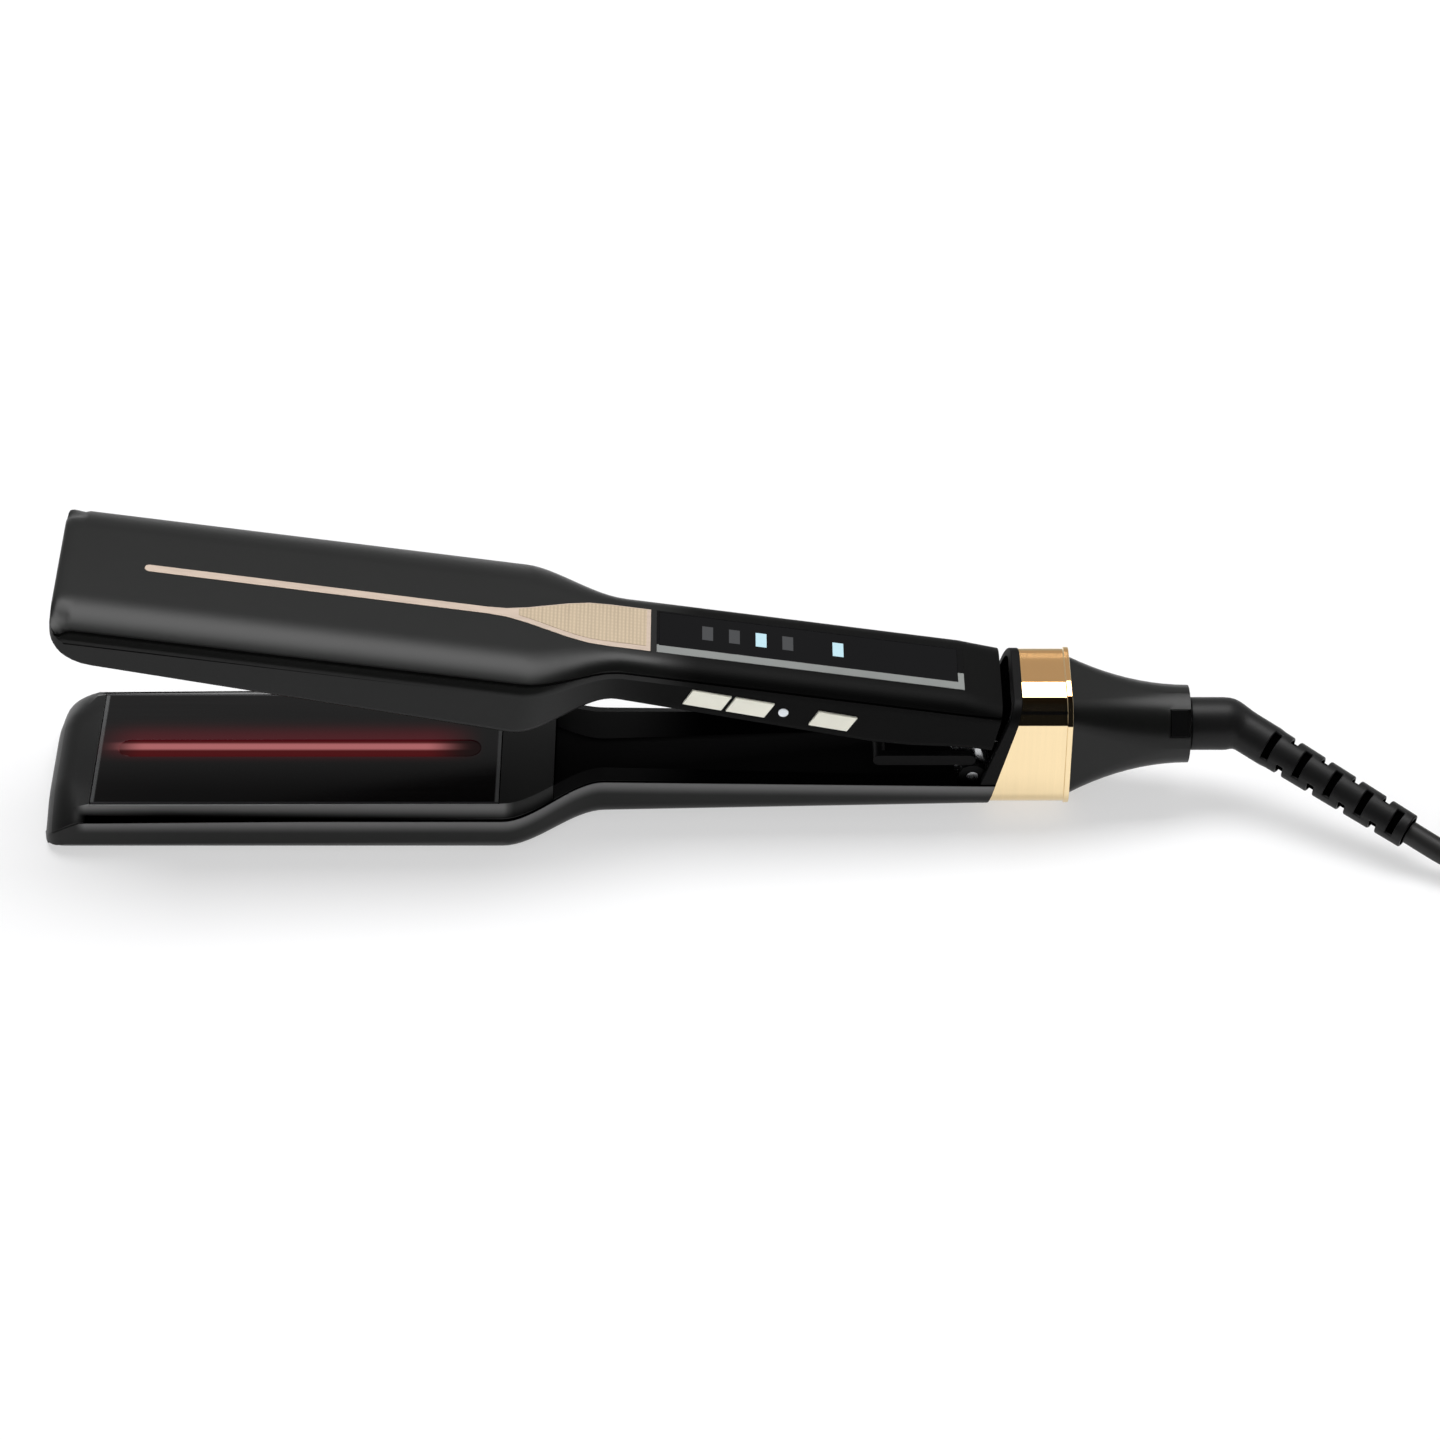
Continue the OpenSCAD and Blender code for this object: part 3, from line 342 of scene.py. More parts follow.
@dataclass
class Wiring:
    """Adds and links nodes in one shader tree."""

    tree: NodeTree

    def feed(self, socket: NodeSocket, value: object) -> None:
        """Links an input to a socket, or sets it to a plain value.

        Args:
            socket: The input to feed.
            value: A socket or a value.
        """
        if isinstance(value, NodeSocket):
            self.tree.links.new(value, socket)
        else:
            socket.default_value = value

    def node(self, kind: str, links: dict[str | int, object] | None = None,
             **settings: object) -> Node:
        """Adds a node.

        Args:
            kind: The node's type.
            links: Sockets or values for its inputs, by name or number.
            settings: The node's own settings.

        Returns:
            The new node.
        """
        made = self.tree.nodes.new(kind)
        for name, value in settings.items():
            setattr(made, name, value)
        for key, value in (links or {}).items():
            self.feed(made.inputs[key], value)
        return made

    def put(self, links: dict[str, object]) -> None:
        """Feeds some inputs of the Principled BSDF, by name."""
        for name, value in links.items():
            self.feed(self.tree.nodes["Principled BSDF"].inputs[name], value)

    def so_far(self, name: str) -> NodeSocket:
        """What one input of the Principled BSDF is linked to so far."""
        return self.tree.nodes["Principled BSDF"].inputs[name].links[0].from_socket

    def place(self) -> NodeSocket:
        """The Object coordinate."""
        return self.node("ShaderNodeTexCoord").outputs["Object"]

    def axes(self, vector: NodeSocket) -> tuple[NodeSocket, NodeSocket, NodeSocket]:
        """The X, Y and Z of a vector."""
        return tuple(self.node("ShaderNodeSeparateXYZ", {0: vector}).outputs)

    def facing(self) -> tuple[NodeSocket, NodeSocket, NodeSocket]:
        """The X, Y and Z of the surface's normal."""
        return self.axes(self.node("ShaderNodeNewGeometry").outputs["Normal"])

    def group(self, name: str, links: dict[str, object]) -> Sequence[NodeSocket]:
        """Places a shared group and returns its outputs."""
        tree = bpy.data.node_groups[name]
        return self.node("ShaderNodeGroup", links, node_tree=tree).outputs

    def math(self, operation: str, a: object, b: object = 0.0) -> NodeSocket:
        """Combines two values and returns the result."""
        return self.node("ShaderNodeMath", {0: a, 1: b}, operation=operation).outputs[0]

    def product(self, *values: object) -> NodeSocket:
        """Multiplies values and returns the result."""
        return reduce(partial(self.math, "MULTIPLY"), values)

    def total(self, *values: object) -> NodeSocket:
        """Adds values up and returns the result."""
        return reduce(partial(self.math, "ADD"), values)

    def vector(self, operation: str, a: object, b: object = (0.0, 0.0, 0.0)) -> Node:
        """Combines two vectors and returns the node."""
        return self.node("ShaderNodeVectorMath", {0: a, 1: b}, operation=operation)

    def spread(self, value: object, low: float, high: float, to_low: object = 0.0,
               to_high: object = 1.0, ends: str = "LINEAR") -> NodeSocket:
        """Maps a value from one range to another.

        Args:
            value: What to map.
            low: Start of its range.
            high: End of its range.
            to_low: What the start becomes.
            to_high: What the end becomes.
            ends: How it eases in and out.

        Returns:
            The mapped value.
        """
        links = {"Value": value, "From Min": low, "From Max": high,
                 "To Min": to_low, "To Max": to_high}
        return self.node("ShaderNodeMapRange", links, interpolation_type=ends).outputs[0]

    def step(self, value: object, low: float, high: float, to_low: object = 0.0,
             to_high: object = 1.0) -> NodeSocket:
        """Maps a value from one range to another with soft ends and returns the result."""
        return self.spread(value, low, high, to_low, to_high, "SMOOTHSTEP")

    def between(self, factor: object, a: object, b: object) -> NodeSocket:
        """Mixes two numbers by a factor and returns the result."""
        links = {0: factor, 2: a, 3: b}
        return self.node("ShaderNodeMix", links, data_type="FLOAT").outputs[0]

    def blend(self, factor: object, a: object, b: object) -> NodeSocket:
        """Mixes two colours by a factor and returns the result."""
        links = {"Factor": factor, 6: a, 7: b}
        return self.node("ShaderNodeMix", links, data_type="RGBA").outputs[2]


# ---------------------------------------------------------------- shared shader groups


def start_group(
    name: str, inputs: dict[str, object], outputs: Sequence[str]
) -> tuple[Wiring, Sequence[NodeSocket], Sequence[NodeSocket]]:
    """Starts a shader node group with its sockets.

    Args:
        name: The group's name.
        inputs: Each input's default by its name, a number or a vector.
        outputs: Name of each output, all of them numbers.

    Returns:
        The group's wiring, the sockets that bring its inputs and those that take its outputs.
    """
    tree = bpy.data.node_groups.new(name, "ShaderNodeTree")
    for label, default in inputs.items():
        kind = "NodeSocketVector" if isinstance(default, tuple) else "NodeSocketFloat"
        socket = tree.interface.new_socket(label, in_out="INPUT", socket_type=kind)
        socket.default_value = default
    for label in outputs:
        tree.interface.new_socket(label, in_out="OUTPUT", socket_type="NodeSocketFloat")
    given = tree.nodes.new("NodeGroupInput").outputs
    return Wiring(tree), given, tree.nodes.new("NodeGroupOutput").inputs


ORIGIN: Triple = (0.0, 0.0, 0.0)


def moulded_grain_group() -> None:
    """Fine grain of moulded plastic: its height, and a slow change of tone from handling."""
    w, given, out = start_group("moulded_grain", {"Place": ORIGIN, "Size": 0.25, "Depth": 0.5},
                                ("Height", "Tone", "Sheen"))
    scale = w.math("DIVIDE", 1 / MM, given["Size"])
    fine = w.node("ShaderNodeTexNoise", {"Vector": given["Place"], "Scale": scale,
                                         "Detail": 3.0, "Roughness": 0.6}).outputs[0]
    pores = w.node("ShaderNodeTexVoronoi", {"Vector": given["Place"],
                                            "Scale": w.product(scale, 0.6)})
    slow = w.node("ShaderNodeTexNoise", {"Vector": given["Place"], "Scale": 45.0,
                                         "Detail": 2.0, "Roughness": 0.5}).outputs[0]
    grain = w.total(w.product(fine, 0.7), w.product(pores.outputs["Distance"], 0.4))
    w.feed(out["Height"], w.product(grain, given["Depth"]))
    w.feed(out["Tone"], w.spread(slow, 0.3, 0.7))
    w.feed(out["Sheen"], w.spread(fine, 0.25, 0.75))


def brushed_group() -> None:
    """Fine lines of a turned or brushed metal along one direction, as a height and a tone."""
    w, given, out = start_group("brushed_lines", {"Place": ORIGIN, "Along": (1.0, 1.0, 1.0)},
                                ("Height", "Tone"))
    stretched = w.vector("MULTIPLY", given["Place"], given["Along"]).outputs[0]
    lines = w.node("ShaderNodeTexNoise", {"Vector": stretched, "Scale": 900.0,
                                          "Detail": 4.0, "Roughness": 0.65}).outputs[0]
    w.feed(out["Height"], lines)
    w.feed(out["Tone"], w.spread(lines, 0.3, 0.7))


LINE_MIDDLE = 0.0008
LINE_RISE: Span = (-0.166, -0.148)
LINE_FALL: Span = (-0.065, -0.046)


def lit_line_group() -> None:
    """How near a place is to the lit line along the plates, and how far it is along it."""
    w, given, out = start_group("lit_line", {"Place": ORIGIN, "Width": 0.002},
                                ("Core", "Halo", "Along"))
    x, y, _ = w.axes(given["Place"])
    beside = w.math("SUBTRACT", y, LINE_MIDDLE)
    across = w.math("DIVIDE", w.math("ABSOLUTE", beside), given["Width"])
    away = w.product(across, w.step(beside, -0.002, 0.002, 1.5, 0.9))
    halo = w.spread(away, 0.6, 6.5, 1.0, 0.0, "SMOOTHERSTEP")
    w.feed(out["Core"], w.step(across, 0.35, 1.0, 1.0, 0.0))
    w.feed(out["Halo"], w.math("POWER", halo, 2.2))
    w.feed(out["Along"], w.product(w.step(x, *LINE_RISE), w.step(x, *LINE_FALL, 1.0, 0.0)))


SHOULDER: Span = (-0.041, -0.011)
HANDLE: Span = (-0.011, 0.100)
SEAM_HEIGHT, SEAM_CLIMB = 12.5, 1.8
SEAM_SWELL: Span = (4.1, 0.7)
LIP_HEIGHTS: Span = (2.5, 1.8)


def seam_group() -> None:
    """How far a place is above the lower arm's seam, in mm, and how tall the lip is there."""
    w, given, out = start_group("arm_seam", {"Place": ORIGIN}, ("Above", "Lip"))
    x, _, z = w.axes(given["Place"])
    shoulder, along = w.step(x, *SHOULDER), w.spread(x, *HANDLE)
    swell = w.product(shoulder, w.spread(along, 0.0, 1.0, *SEAM_SWELL))
    seam = w.total(swell, w.product(along, SEAM_CLIMB), SEAM_HEIGHT)
    w.feed(out["Above"], w.math("SUBTRACT", w.product(z, 1 / MM), seam))
    w.feed(out["Lip"], w.spread(shoulder, 0.0, 1.0, *LIP_HEIGHTS))


PLATE_MIDDLE = -0.102
PLATE_ENDS: Span = (0.0587, 0.0592)
PLATE_SIDES: Span = (0.0242, 0.0247)


def plate_edge_group() -> None:
    """How near a place is to the two ends and the two sides of the plates."""
    w, given, out = start_group("plate_edges", {"Place": ORIGIN}, ("Ends", "Sides"))
    x, y, _ = w.axes(given["Place"])
    lengthwise = w.math("ABSOLUTE", w.total(x, -PLATE_MIDDLE))
    w.feed(out["Ends"], w.step(lengthwise, *PLATE_ENDS))
    w.feed(out["Sides"], w.step(w.math("ABSOLUTE", y), *PLATE_SIDES))


# ---------------------------------------------------------------- finishes


@dataclass(frozen=True)
class Finish:
    """A finish, by the name of its material."""

    name: str

    def material(self) -> Material:
        """Makes the finish's material.

        Returns:
            The new material.
        """
        material = bpy.data.materials.new(self.name)
        material.use_nodes = True
        self.paint(Wiring(material.node_tree))
        return material

    def paint(self, w: Wiring) -> None:
        """Wires the looks; every kind of finish has its own."""
        raise NotImplementedError


@dataclass(frozen=True)
class Moulded(Finish):
    """Moulded plastic, rubber or ceramic with grain and a slow change of tone."""

    colour: Triple
    roughness: float
    grain: float = 0.25
    depth: float = 0.5
    bump: float = 0.12
    change: float = 0.12
    coat: float = 0.0
    specular: float = 0.5

    def paint(self, w: Wiring) -> None:
        """Wires the grain, the tone and the sheen.

        Args:
            w: The material's wiring.
        """
        grain = w.group("moulded_grain", {"Size": self.grain, "Depth": self.depth,
                                          "Place": w.place()})
        rough = w.spread(grain["Sheen"], 0, 1, self.roughness - 0.04, self.roughness + 0.05)
        bump = w.node("ShaderNodeBump", {"Height": grain["Height"], "Strength": self.bump,
                                         "Distance": 0.1 * MM})
        w.put({
            "Base Color": w.blend(grain["Tone"], scaled(self.colour, 1 - self.change),
                                  scaled(self.colour, 1 + self.change)),
            "Roughness": rough, "Normal": bump.outputs[0],
            "Specular IOR Level": self.specular,
            "Coat Weight": self.coat, "Coat Roughness": 0.12,
        })


class Lip(Enum):
    """Which side of the seam round the lower arm a piece is on."""

    UNDER = "under"
    OVER = "over"


@dataclass(frozen=True)
class SeamedPlastic(Moulded):
    """Plastic with a painted highlight beside the seam, painted shade in it and on the frame's
    nose.
    """

    lip: Lip = Lip.UNDER
    # Grey of the painted highlight beside the seam.
    painted_shading: float = 0.03
    behind_nose: Span = (-0.1665, -0.1630)
    before_shoulder: Span = (-0.0405, -0.0370)
    flat_top: Span = (0.90, 0.985)

    def paint(self, w: Wiring) -> None:
        """Paints a highlight beside the seam and shade in the seam and over the frame's nose.

        Args:
            w: The material's wiring.
        """
        super().paint(w)
        place = w.place()
        seam = w.group("arm_seam", {"Place": place})
        above, plain, along = seam["Above"], w.so_far("Base Color"), w.axes(place)[0]
        behind = w.step(along, *self.behind_nose)
        # Painted highlight: a lighter band on the rim or bevel, where a rounded edge would catch
        # the lamp. Painted shade: the seam gap is black, with no reflection.
        if self.lip is Lip.UNDER:
            line, seam_shade = w.step(above, -5.2, -0.9), w.step(above, -0.75, -0.35)
        else:
            share = w.math("DIVIDE", above, seam["Lip"])
            slope = w.step(w.facing()[2], *self.flat_top, 1.0, 0.0)
            before = w.step(along, *self.before_shoulder, 1.0, 0.25)
            line = w.product(w.step(share, 0.2, 0.85), slope, before)
            seam_shade = w.step(share, 0.10, 0.28, 1.0, 0.0)
            # Painted shade: the frame's nose, ahead of the plate, is made darker.
            plain = w.blend(behind, scaled(self.colour, 0.4), plain)
        line, seam_shade = w.product(line, behind), w.product(seam_shade, behind)
        lit = w.blend(line, plain, grey(self.painted_shading))
        w.put({"Base Color": w.blend(seam_shade, lit, BLACK),
               "Specular IOR Level": w.spread(seam_shade, 0, 1, self.specular, 0)})


@dataclass(frozen=True)
class ShadedPlastic(Moulded):
    """Matt moulded plastic with painted shade along the handle, darker than on the paddle."""

    # How dark the painted shade makes the handle's colour.
    handle: float = 0.25
    turn: Span = (-0.03, 0.01)
    handle_rough: float = 0.55
    handle_specular: float = 0.08

    def paint(self, w: Wiring) -> None:
        """Paints shade along the handle, with duller, weaker reflections there.

        Args:
            w: The material's wiring.
        """
        super().paint(w)
        # Mask of the painted shade, rising from the paddle to the handle.
        painted_shading = w.step(w.axes(w.place())[0], *self.turn)
        specular = w.spread(painted_shading, 0, 1, self.specular, self.handle_specular)
        w.put({"Base Color": w.blend(painted_shading, w.so_far("Base Color"),
                                     scaled(self.colour, self.handle)),
               "Roughness": w.between(painted_shading, w.so_far("Roughness"), self.handle_rough),
               "Specular IOR Level": specular})


@dataclass(frozen=True)
class TroughPlastic(Moulded):
    """Dull black plastic whose upright far wall has painted light on it toward the plates."""

    painted_shading: float = 0.016
    painted_light_end: Span = (-0.010, 0.020)

    def paint(self, w: Wiring) -> None:
        """Adds the worn wall to the plastic.

        Args:
            w: The material's wiring.
        """
        super().paint(w)
        # Painted light: faces turned toward the near side are made lighter, fading out along the
        # handle.
        wall = w.product(w.step(w.facing()[1], -0.6, -0.2, 1.0, 0.0),
                         w.step(w.axes(w.place())[0], *self.painted_light_end, 1.0, 0.0))
        w.put({"Base Color": w.blend(wall, w.so_far("Base Color"), grey(self.painted_shading))})


@dataclass(frozen=True)
class GroovedRubber(Moulded):
    """Rubber of the cord's boot, with black painted shade in the depth of its slots."""

    slot_from: Span = (0.0002, 0.0009)
    slot_shade: float = 0.0004

    def paint(self, w: Wiring) -> None:
        """Paints shade into the slots of the rubber.

        Args:
            w: The material's wiring.
        """
        super().paint(w)
        start = Vector(BOOT_START) * MM
        axis = Vector(BOOT_END) * MM - start
        away = w.vector("SUBTRACT", w.place(), tuple(start)).outputs[0]
        along = w.vector("DOT_PRODUCT", away, tuple(axis.normalized())).outputs["Value"]
        aside = w.vector("CROSS_PRODUCT", away, tuple(axis.normalized())).outputs[0]
        off = w.vector("LENGTH", aside).outputs["Value"]
        skin = w.spread(along, 0, axis.length, *(radius * MM for radius in BOOT_RADII))
        # Painted shade: faces sunk below the boot's skin, past its smooth part, are made black and
        # lose their reflection.
        slot_shade_mask = w.product(w.step(w.math("SUBTRACT", skin, off), *self.slot_from),
                         w.math("GREATER_THAN", along, BOOT_SMOOTH * MM))
        w.put({"Base Color": w.blend(slot_shade_mask, w.so_far("Base Color"), grey(self.slot_shade)),
               "Specular IOR Level": w.spread(slot_shade_mask, 0, 1, self.specular, 0)})


@dataclass(frozen=True)
class Metal(Finish):
    """Bare, plated or lacquered metal with fine lines."""

    colour: Triple
    roughness: float
    along: Triple = (0.04, 1.0, 1.0)
    bump: float = 0.05
    metallic: float = 1.0
    change: float = 0.05

    def paint(self, w: Wiring) -> None:
        """Wires the lines, the tone and the polish.

        Args:
            w: The material's wiring.
        """
        lines = w.group("brushed_lines", {"Along": self.along, "Place": w.place()})
        bump = w.node("ShaderNodeBump", {"Height": lines["Height"], "Strength": self.bump,
                                         "Distance": 0.05 * MM})
        w.put({
            "Base Color": w.blend(lines["Tone"], scaled(self.colour, 1 - self.change),
                                  scaled(self.colour, 1 + self.change)),
            "Roughness": w.spread(lines["Tone"], 0, 1, self.roughness * 0.85,
                                  self.roughness * 1.15),
            "Metallic": self.metallic, "Normal": bump.outputs[0],
        })


@dataclass(frozen=True)
class LinedMetal(Metal):
    """Polished band, dark inside, painted with a warm top reflection; its corners look rounder
    than they are.
    """

    inner_half: float = 0.0153
    inner_heights: Span = (0.0070, 0.0414)
    inner_tone: float = 0.003
    # Tint of the painted reflection on the up-facing faces.
    warm: Triple = (1.0, 0.59, 0.26)
    far_lean: Span = (0.0055, 0.0090)
    middle_lean: Span = (-0.0036, -0.0018)
    near_lean: Span = (-0.0112, -0.0092)
    corner_lean: Span = (-0.0175, -0.0112)
    corner_start: float = -0.0100
    corner_rise: Span = (0.0376, 0.0380)
    rise: float = 0.45

    def paint(self, w: Wiring) -> None:
        """Darkens the inside, paints a warm top reflection and leans the normals on the top and
        near corner.

        Args:
            w: The material's wiring.
        """
        super().paint(w)
        _, y, z = w.axes(w.place())
        low, high = self.inner_heights
        inner_mask = w.product(w.math("LESS_THAN", w.math("ABSOLUTE", y), self.inner_half),
                          w.math("GREATER_THAN", z, low), w.math("LESS_THAN", z, high))
        upward = w.facing()[2]
        # Painted reflection: faces that look straight up are tinted warm orange.
        warm = w.blend(w.step(upward, 0.93, 0.99), w.so_far("Base Color"), scaled(self.warm))
        lean = w.total(w.step(y, *self.far_lean, 0.04, 0.15),
                       w.step(y, *self.middle_lean, 0.2, 0.0),
                       w.step(y, *self.near_lean, 0.8, 0.0),
                       w.spread(y, *self.corner_lean, 0.6, 0.0))
        side = w.product(w.step(upward, 0.6, 0.8, 1.0, 0.0),
                         w.math("LESS_THAN", y, self.corner_start))
        toward = w.node("ShaderNodeCombineXYZ", {
            1: w.product(lean, w.step(upward, 0.45, 0.95, 0.0, -1.0)),
            2: w.product(w.step(z, *self.corner_rise, 0.0, self.rise), side),
        }).outputs[0]
        bent = w.vector("ADD", w.so_far("Normal"), toward).outputs[0]
        w.put({"Base Color": w.blend(inner_mask, warm, grey(self.inner_tone)),
               "Metallic": w.math("SUBTRACT", self.metallic, inner_mask),
               "Normal": w.vector("NORMALIZE", bent).outputs[0]})


GLOW_FADE = 2.5


@dataclass(frozen=True)
class LitPlate(Finish):
    """Glossy dark coating of the plates, with the red light spilling over it."""

    colour: Triple
    roughness: float
    spill: float
    core: Triple
    near_half: Span = (-0.022, 0.004)
    end_tone: Triple = (0.085, 0.087, 0.088)
    side_tone: Triple = (0.030, 0.030, 0.032)

    def paint(self, w: Wiring) -> None:
        """Wires the coating, its lighter edges and the light on it.

        Args:
            w: The material's wiring.
        """
        place = w.place()
        tone = w.group("brushed_lines", {"Along": (0.03, 1.0, 1.0), "Place": place})["Tone"]
        colour = w.blend(tone, scaled(self.colour, 0.85), scaled(self.colour, 1.15))
        edges = w.group("plate_edges", {"Place": place})
        colour = w.blend(edges["Ends"], colour, scaled(self.end_tone))
        colour = w.blend(edges["Sides"], colour, scaled(self.side_tone))
        glow = w.group("lit_line", {"Width": 0.0024, "Place": place})
        red = (self.spill, self.spill * 0.03, self.spill * 0.09)
        light = w.blend(w.product(glow["Halo"], glow["Along"]), BLACK, scaled(red))
        lead = w.product(glow["Core"], w.math("POWER", glow["Along"], GLOW_FADE))
        w.put({
            "Base Color": colour,
            "Roughness": w.spread(tone, 0, 1, self.roughness, self.roughness + 0.05),
            "Specular IOR Level": w.step(w.axes(place)[1], *self.near_half, 0.08, 0.28),
            "Emission Color": w.blend(lead, light, scaled(self.core)),
            "Emission Strength": 1.0,
        })


@dataclass(frozen=True)
class GlowingWindow(Finish):
    """Red window with a bright pink line along its middle that fades in at the tip end."""

    edge: Triple
    core: Triple
    strength: float

    def paint(self, w: Wiring) -> None:
        """Wires the dark glass and the light in it.

        Args:
            w: The material's wiring.
        """
        place = w.place()
        glow = w.group("lit_line", {"Width": 0.0021, "Place": place})
        grain = w.group("moulded_grain", {"Size": 0.6, "Place": place})
        tint = w.blend(glow["Core"], scaled(self.edge), scaled(self.core))
        fade = w.math("POWER", glow["Along"], GLOW_FADE)
        w.put({
            "Base Color": w.blend(grain["Tone"], (0.004, 0.001, 0.001, 1.0),
                                  (0.006, 0.001, 0.001, 1.0)),
            "Emission Color": w.blend(fade, scaled(self.edge, 0.06), tint),
            "Emission Strength": self.strength,
            "Roughness": 0.12, "Specular IOR Level": 0.12,
        })


@dataclass(frozen=True)
class LightWindow(Finish):
    """Small printed window over a lamp, lit or not, with a fine uneven tone."""

    colour: Triple
    light: float

    def paint(self, w: Wiring) -> None:
        """Wires the window's tone and its light.

        Args:
            w: The material's wiring.
        """
        cells = w.node("ShaderNodeTexVoronoi", {"Vector": w.place(), "Scale": 1400.0})
        tone = w.spread(cells.outputs["Distance"], 0, 0.8, 0.8, 1.1)
        w.put({
            "Base Color": w.blend(tone, scaled(self.colour, 0.175), scaled(self.colour, 0.25)),
            "Emission Color": w.blend(tone, scaled(self.colour, 0.7), scaled(self.colour)),
            "Emission Strength": self.light, "Roughness": 0.2,
        })


@dataclass(frozen=True)
class PanelSurround(Moulded):
    """Grey surround that is painted black except along its near side and its rear corner."""

    near_side: float = -0.0062
    rear_corner: Span = (0.084, -0.0022)
    black: Triple = (0.0012, 0.0012, 0.0014)
    black_specular: float = 0.08

    def paint(self, w: Wiring) -> None:
        """Adds the black paint to the grey.

        Args:
            w: The material's wiring.
        """
        super().paint(w)
        x, y, _ = w.axes(w.place())
        rear_x, rear_y = self.rear_corner
        shown = w.math("MAXIMUM", w.math("LESS_THAN", y, self.near_side),
                       w.product(w.math("GREATER_THAN", x, rear_x),
                                 w.math("LESS_THAN", y, rear_y)))
        w.put({"Base Color": w.blend(shown, scaled(self.black), w.so_far("Base Color")),
               "Specular IOR Level": w.spread(shown, 0, 1, self.black_specular,
                                              self.specular)})


@dataclass(frozen=True)
class HatchedMetal(Metal):
    """Engraved metal with fine crossing rows."""

    row: float = 0.55
    column: float = 0.75

    def paint(self, w: Wiring) -> None:
        """Adds the engraving to the metal.

        Args:
            w: The material's wiring.
        """
        super().paint(w)
        place = w.place()
        waves = 157.0
        rows = w.node("ShaderNodeTexWave", {
            "Vector": place, "Scale": waves / self.row, "Distortion": 0.6,
            "Detail": 1.0, "Detail Scale": 2.0,
        }, bands_direction="X").outputs["Fac"]
        columns = w.node("ShaderNodeTexWave", {
            "Vector": place, "Scale": waves / self.column, "Distortion": 0.4, "Detail": 1.0,
        }, bands_direction="Y").outputs["Fac"]
        cut_in = w.product(rows, w.spread(columns, 0, 1, 0.55, 1.0))
        bump = w.node("ShaderNodeBump", {"Height": cut_in, "Strength": 0.25,
                                         "Distance": 0.06 * MM})
        w.put({"Base Color": w.blend(cut_in, w.so_far("Base Color"), scaled(self.colour, 1.3)),
               "Normal": bump.outputs[0]})


@dataclass(frozen=True)
class ClearTube(Finish):
    """Clear glass of the emitter tube with its warm glow inside."""

    colour: Triple

    def paint(self, w: Wiring) -> None:
        """Wires the glass and its glow.

        Args:
            w: The material's wiring.
        """
        tone = w.group("brushed_lines", {"Place": w.place()})["Tone"]
        w.put({"Base Color": w.blend(tone, scaled(self.colour, 0.9), scaled(self.colour)),
               "Roughness": 0.08, "Emission Color": scaled(self.colour),
               "Emission Strength": 1.2})


SATIN: Triple = (0.0048, 0.0050, 0.0047)
LINE_PINK: Triple = (0.40, 0.125, 0.130)

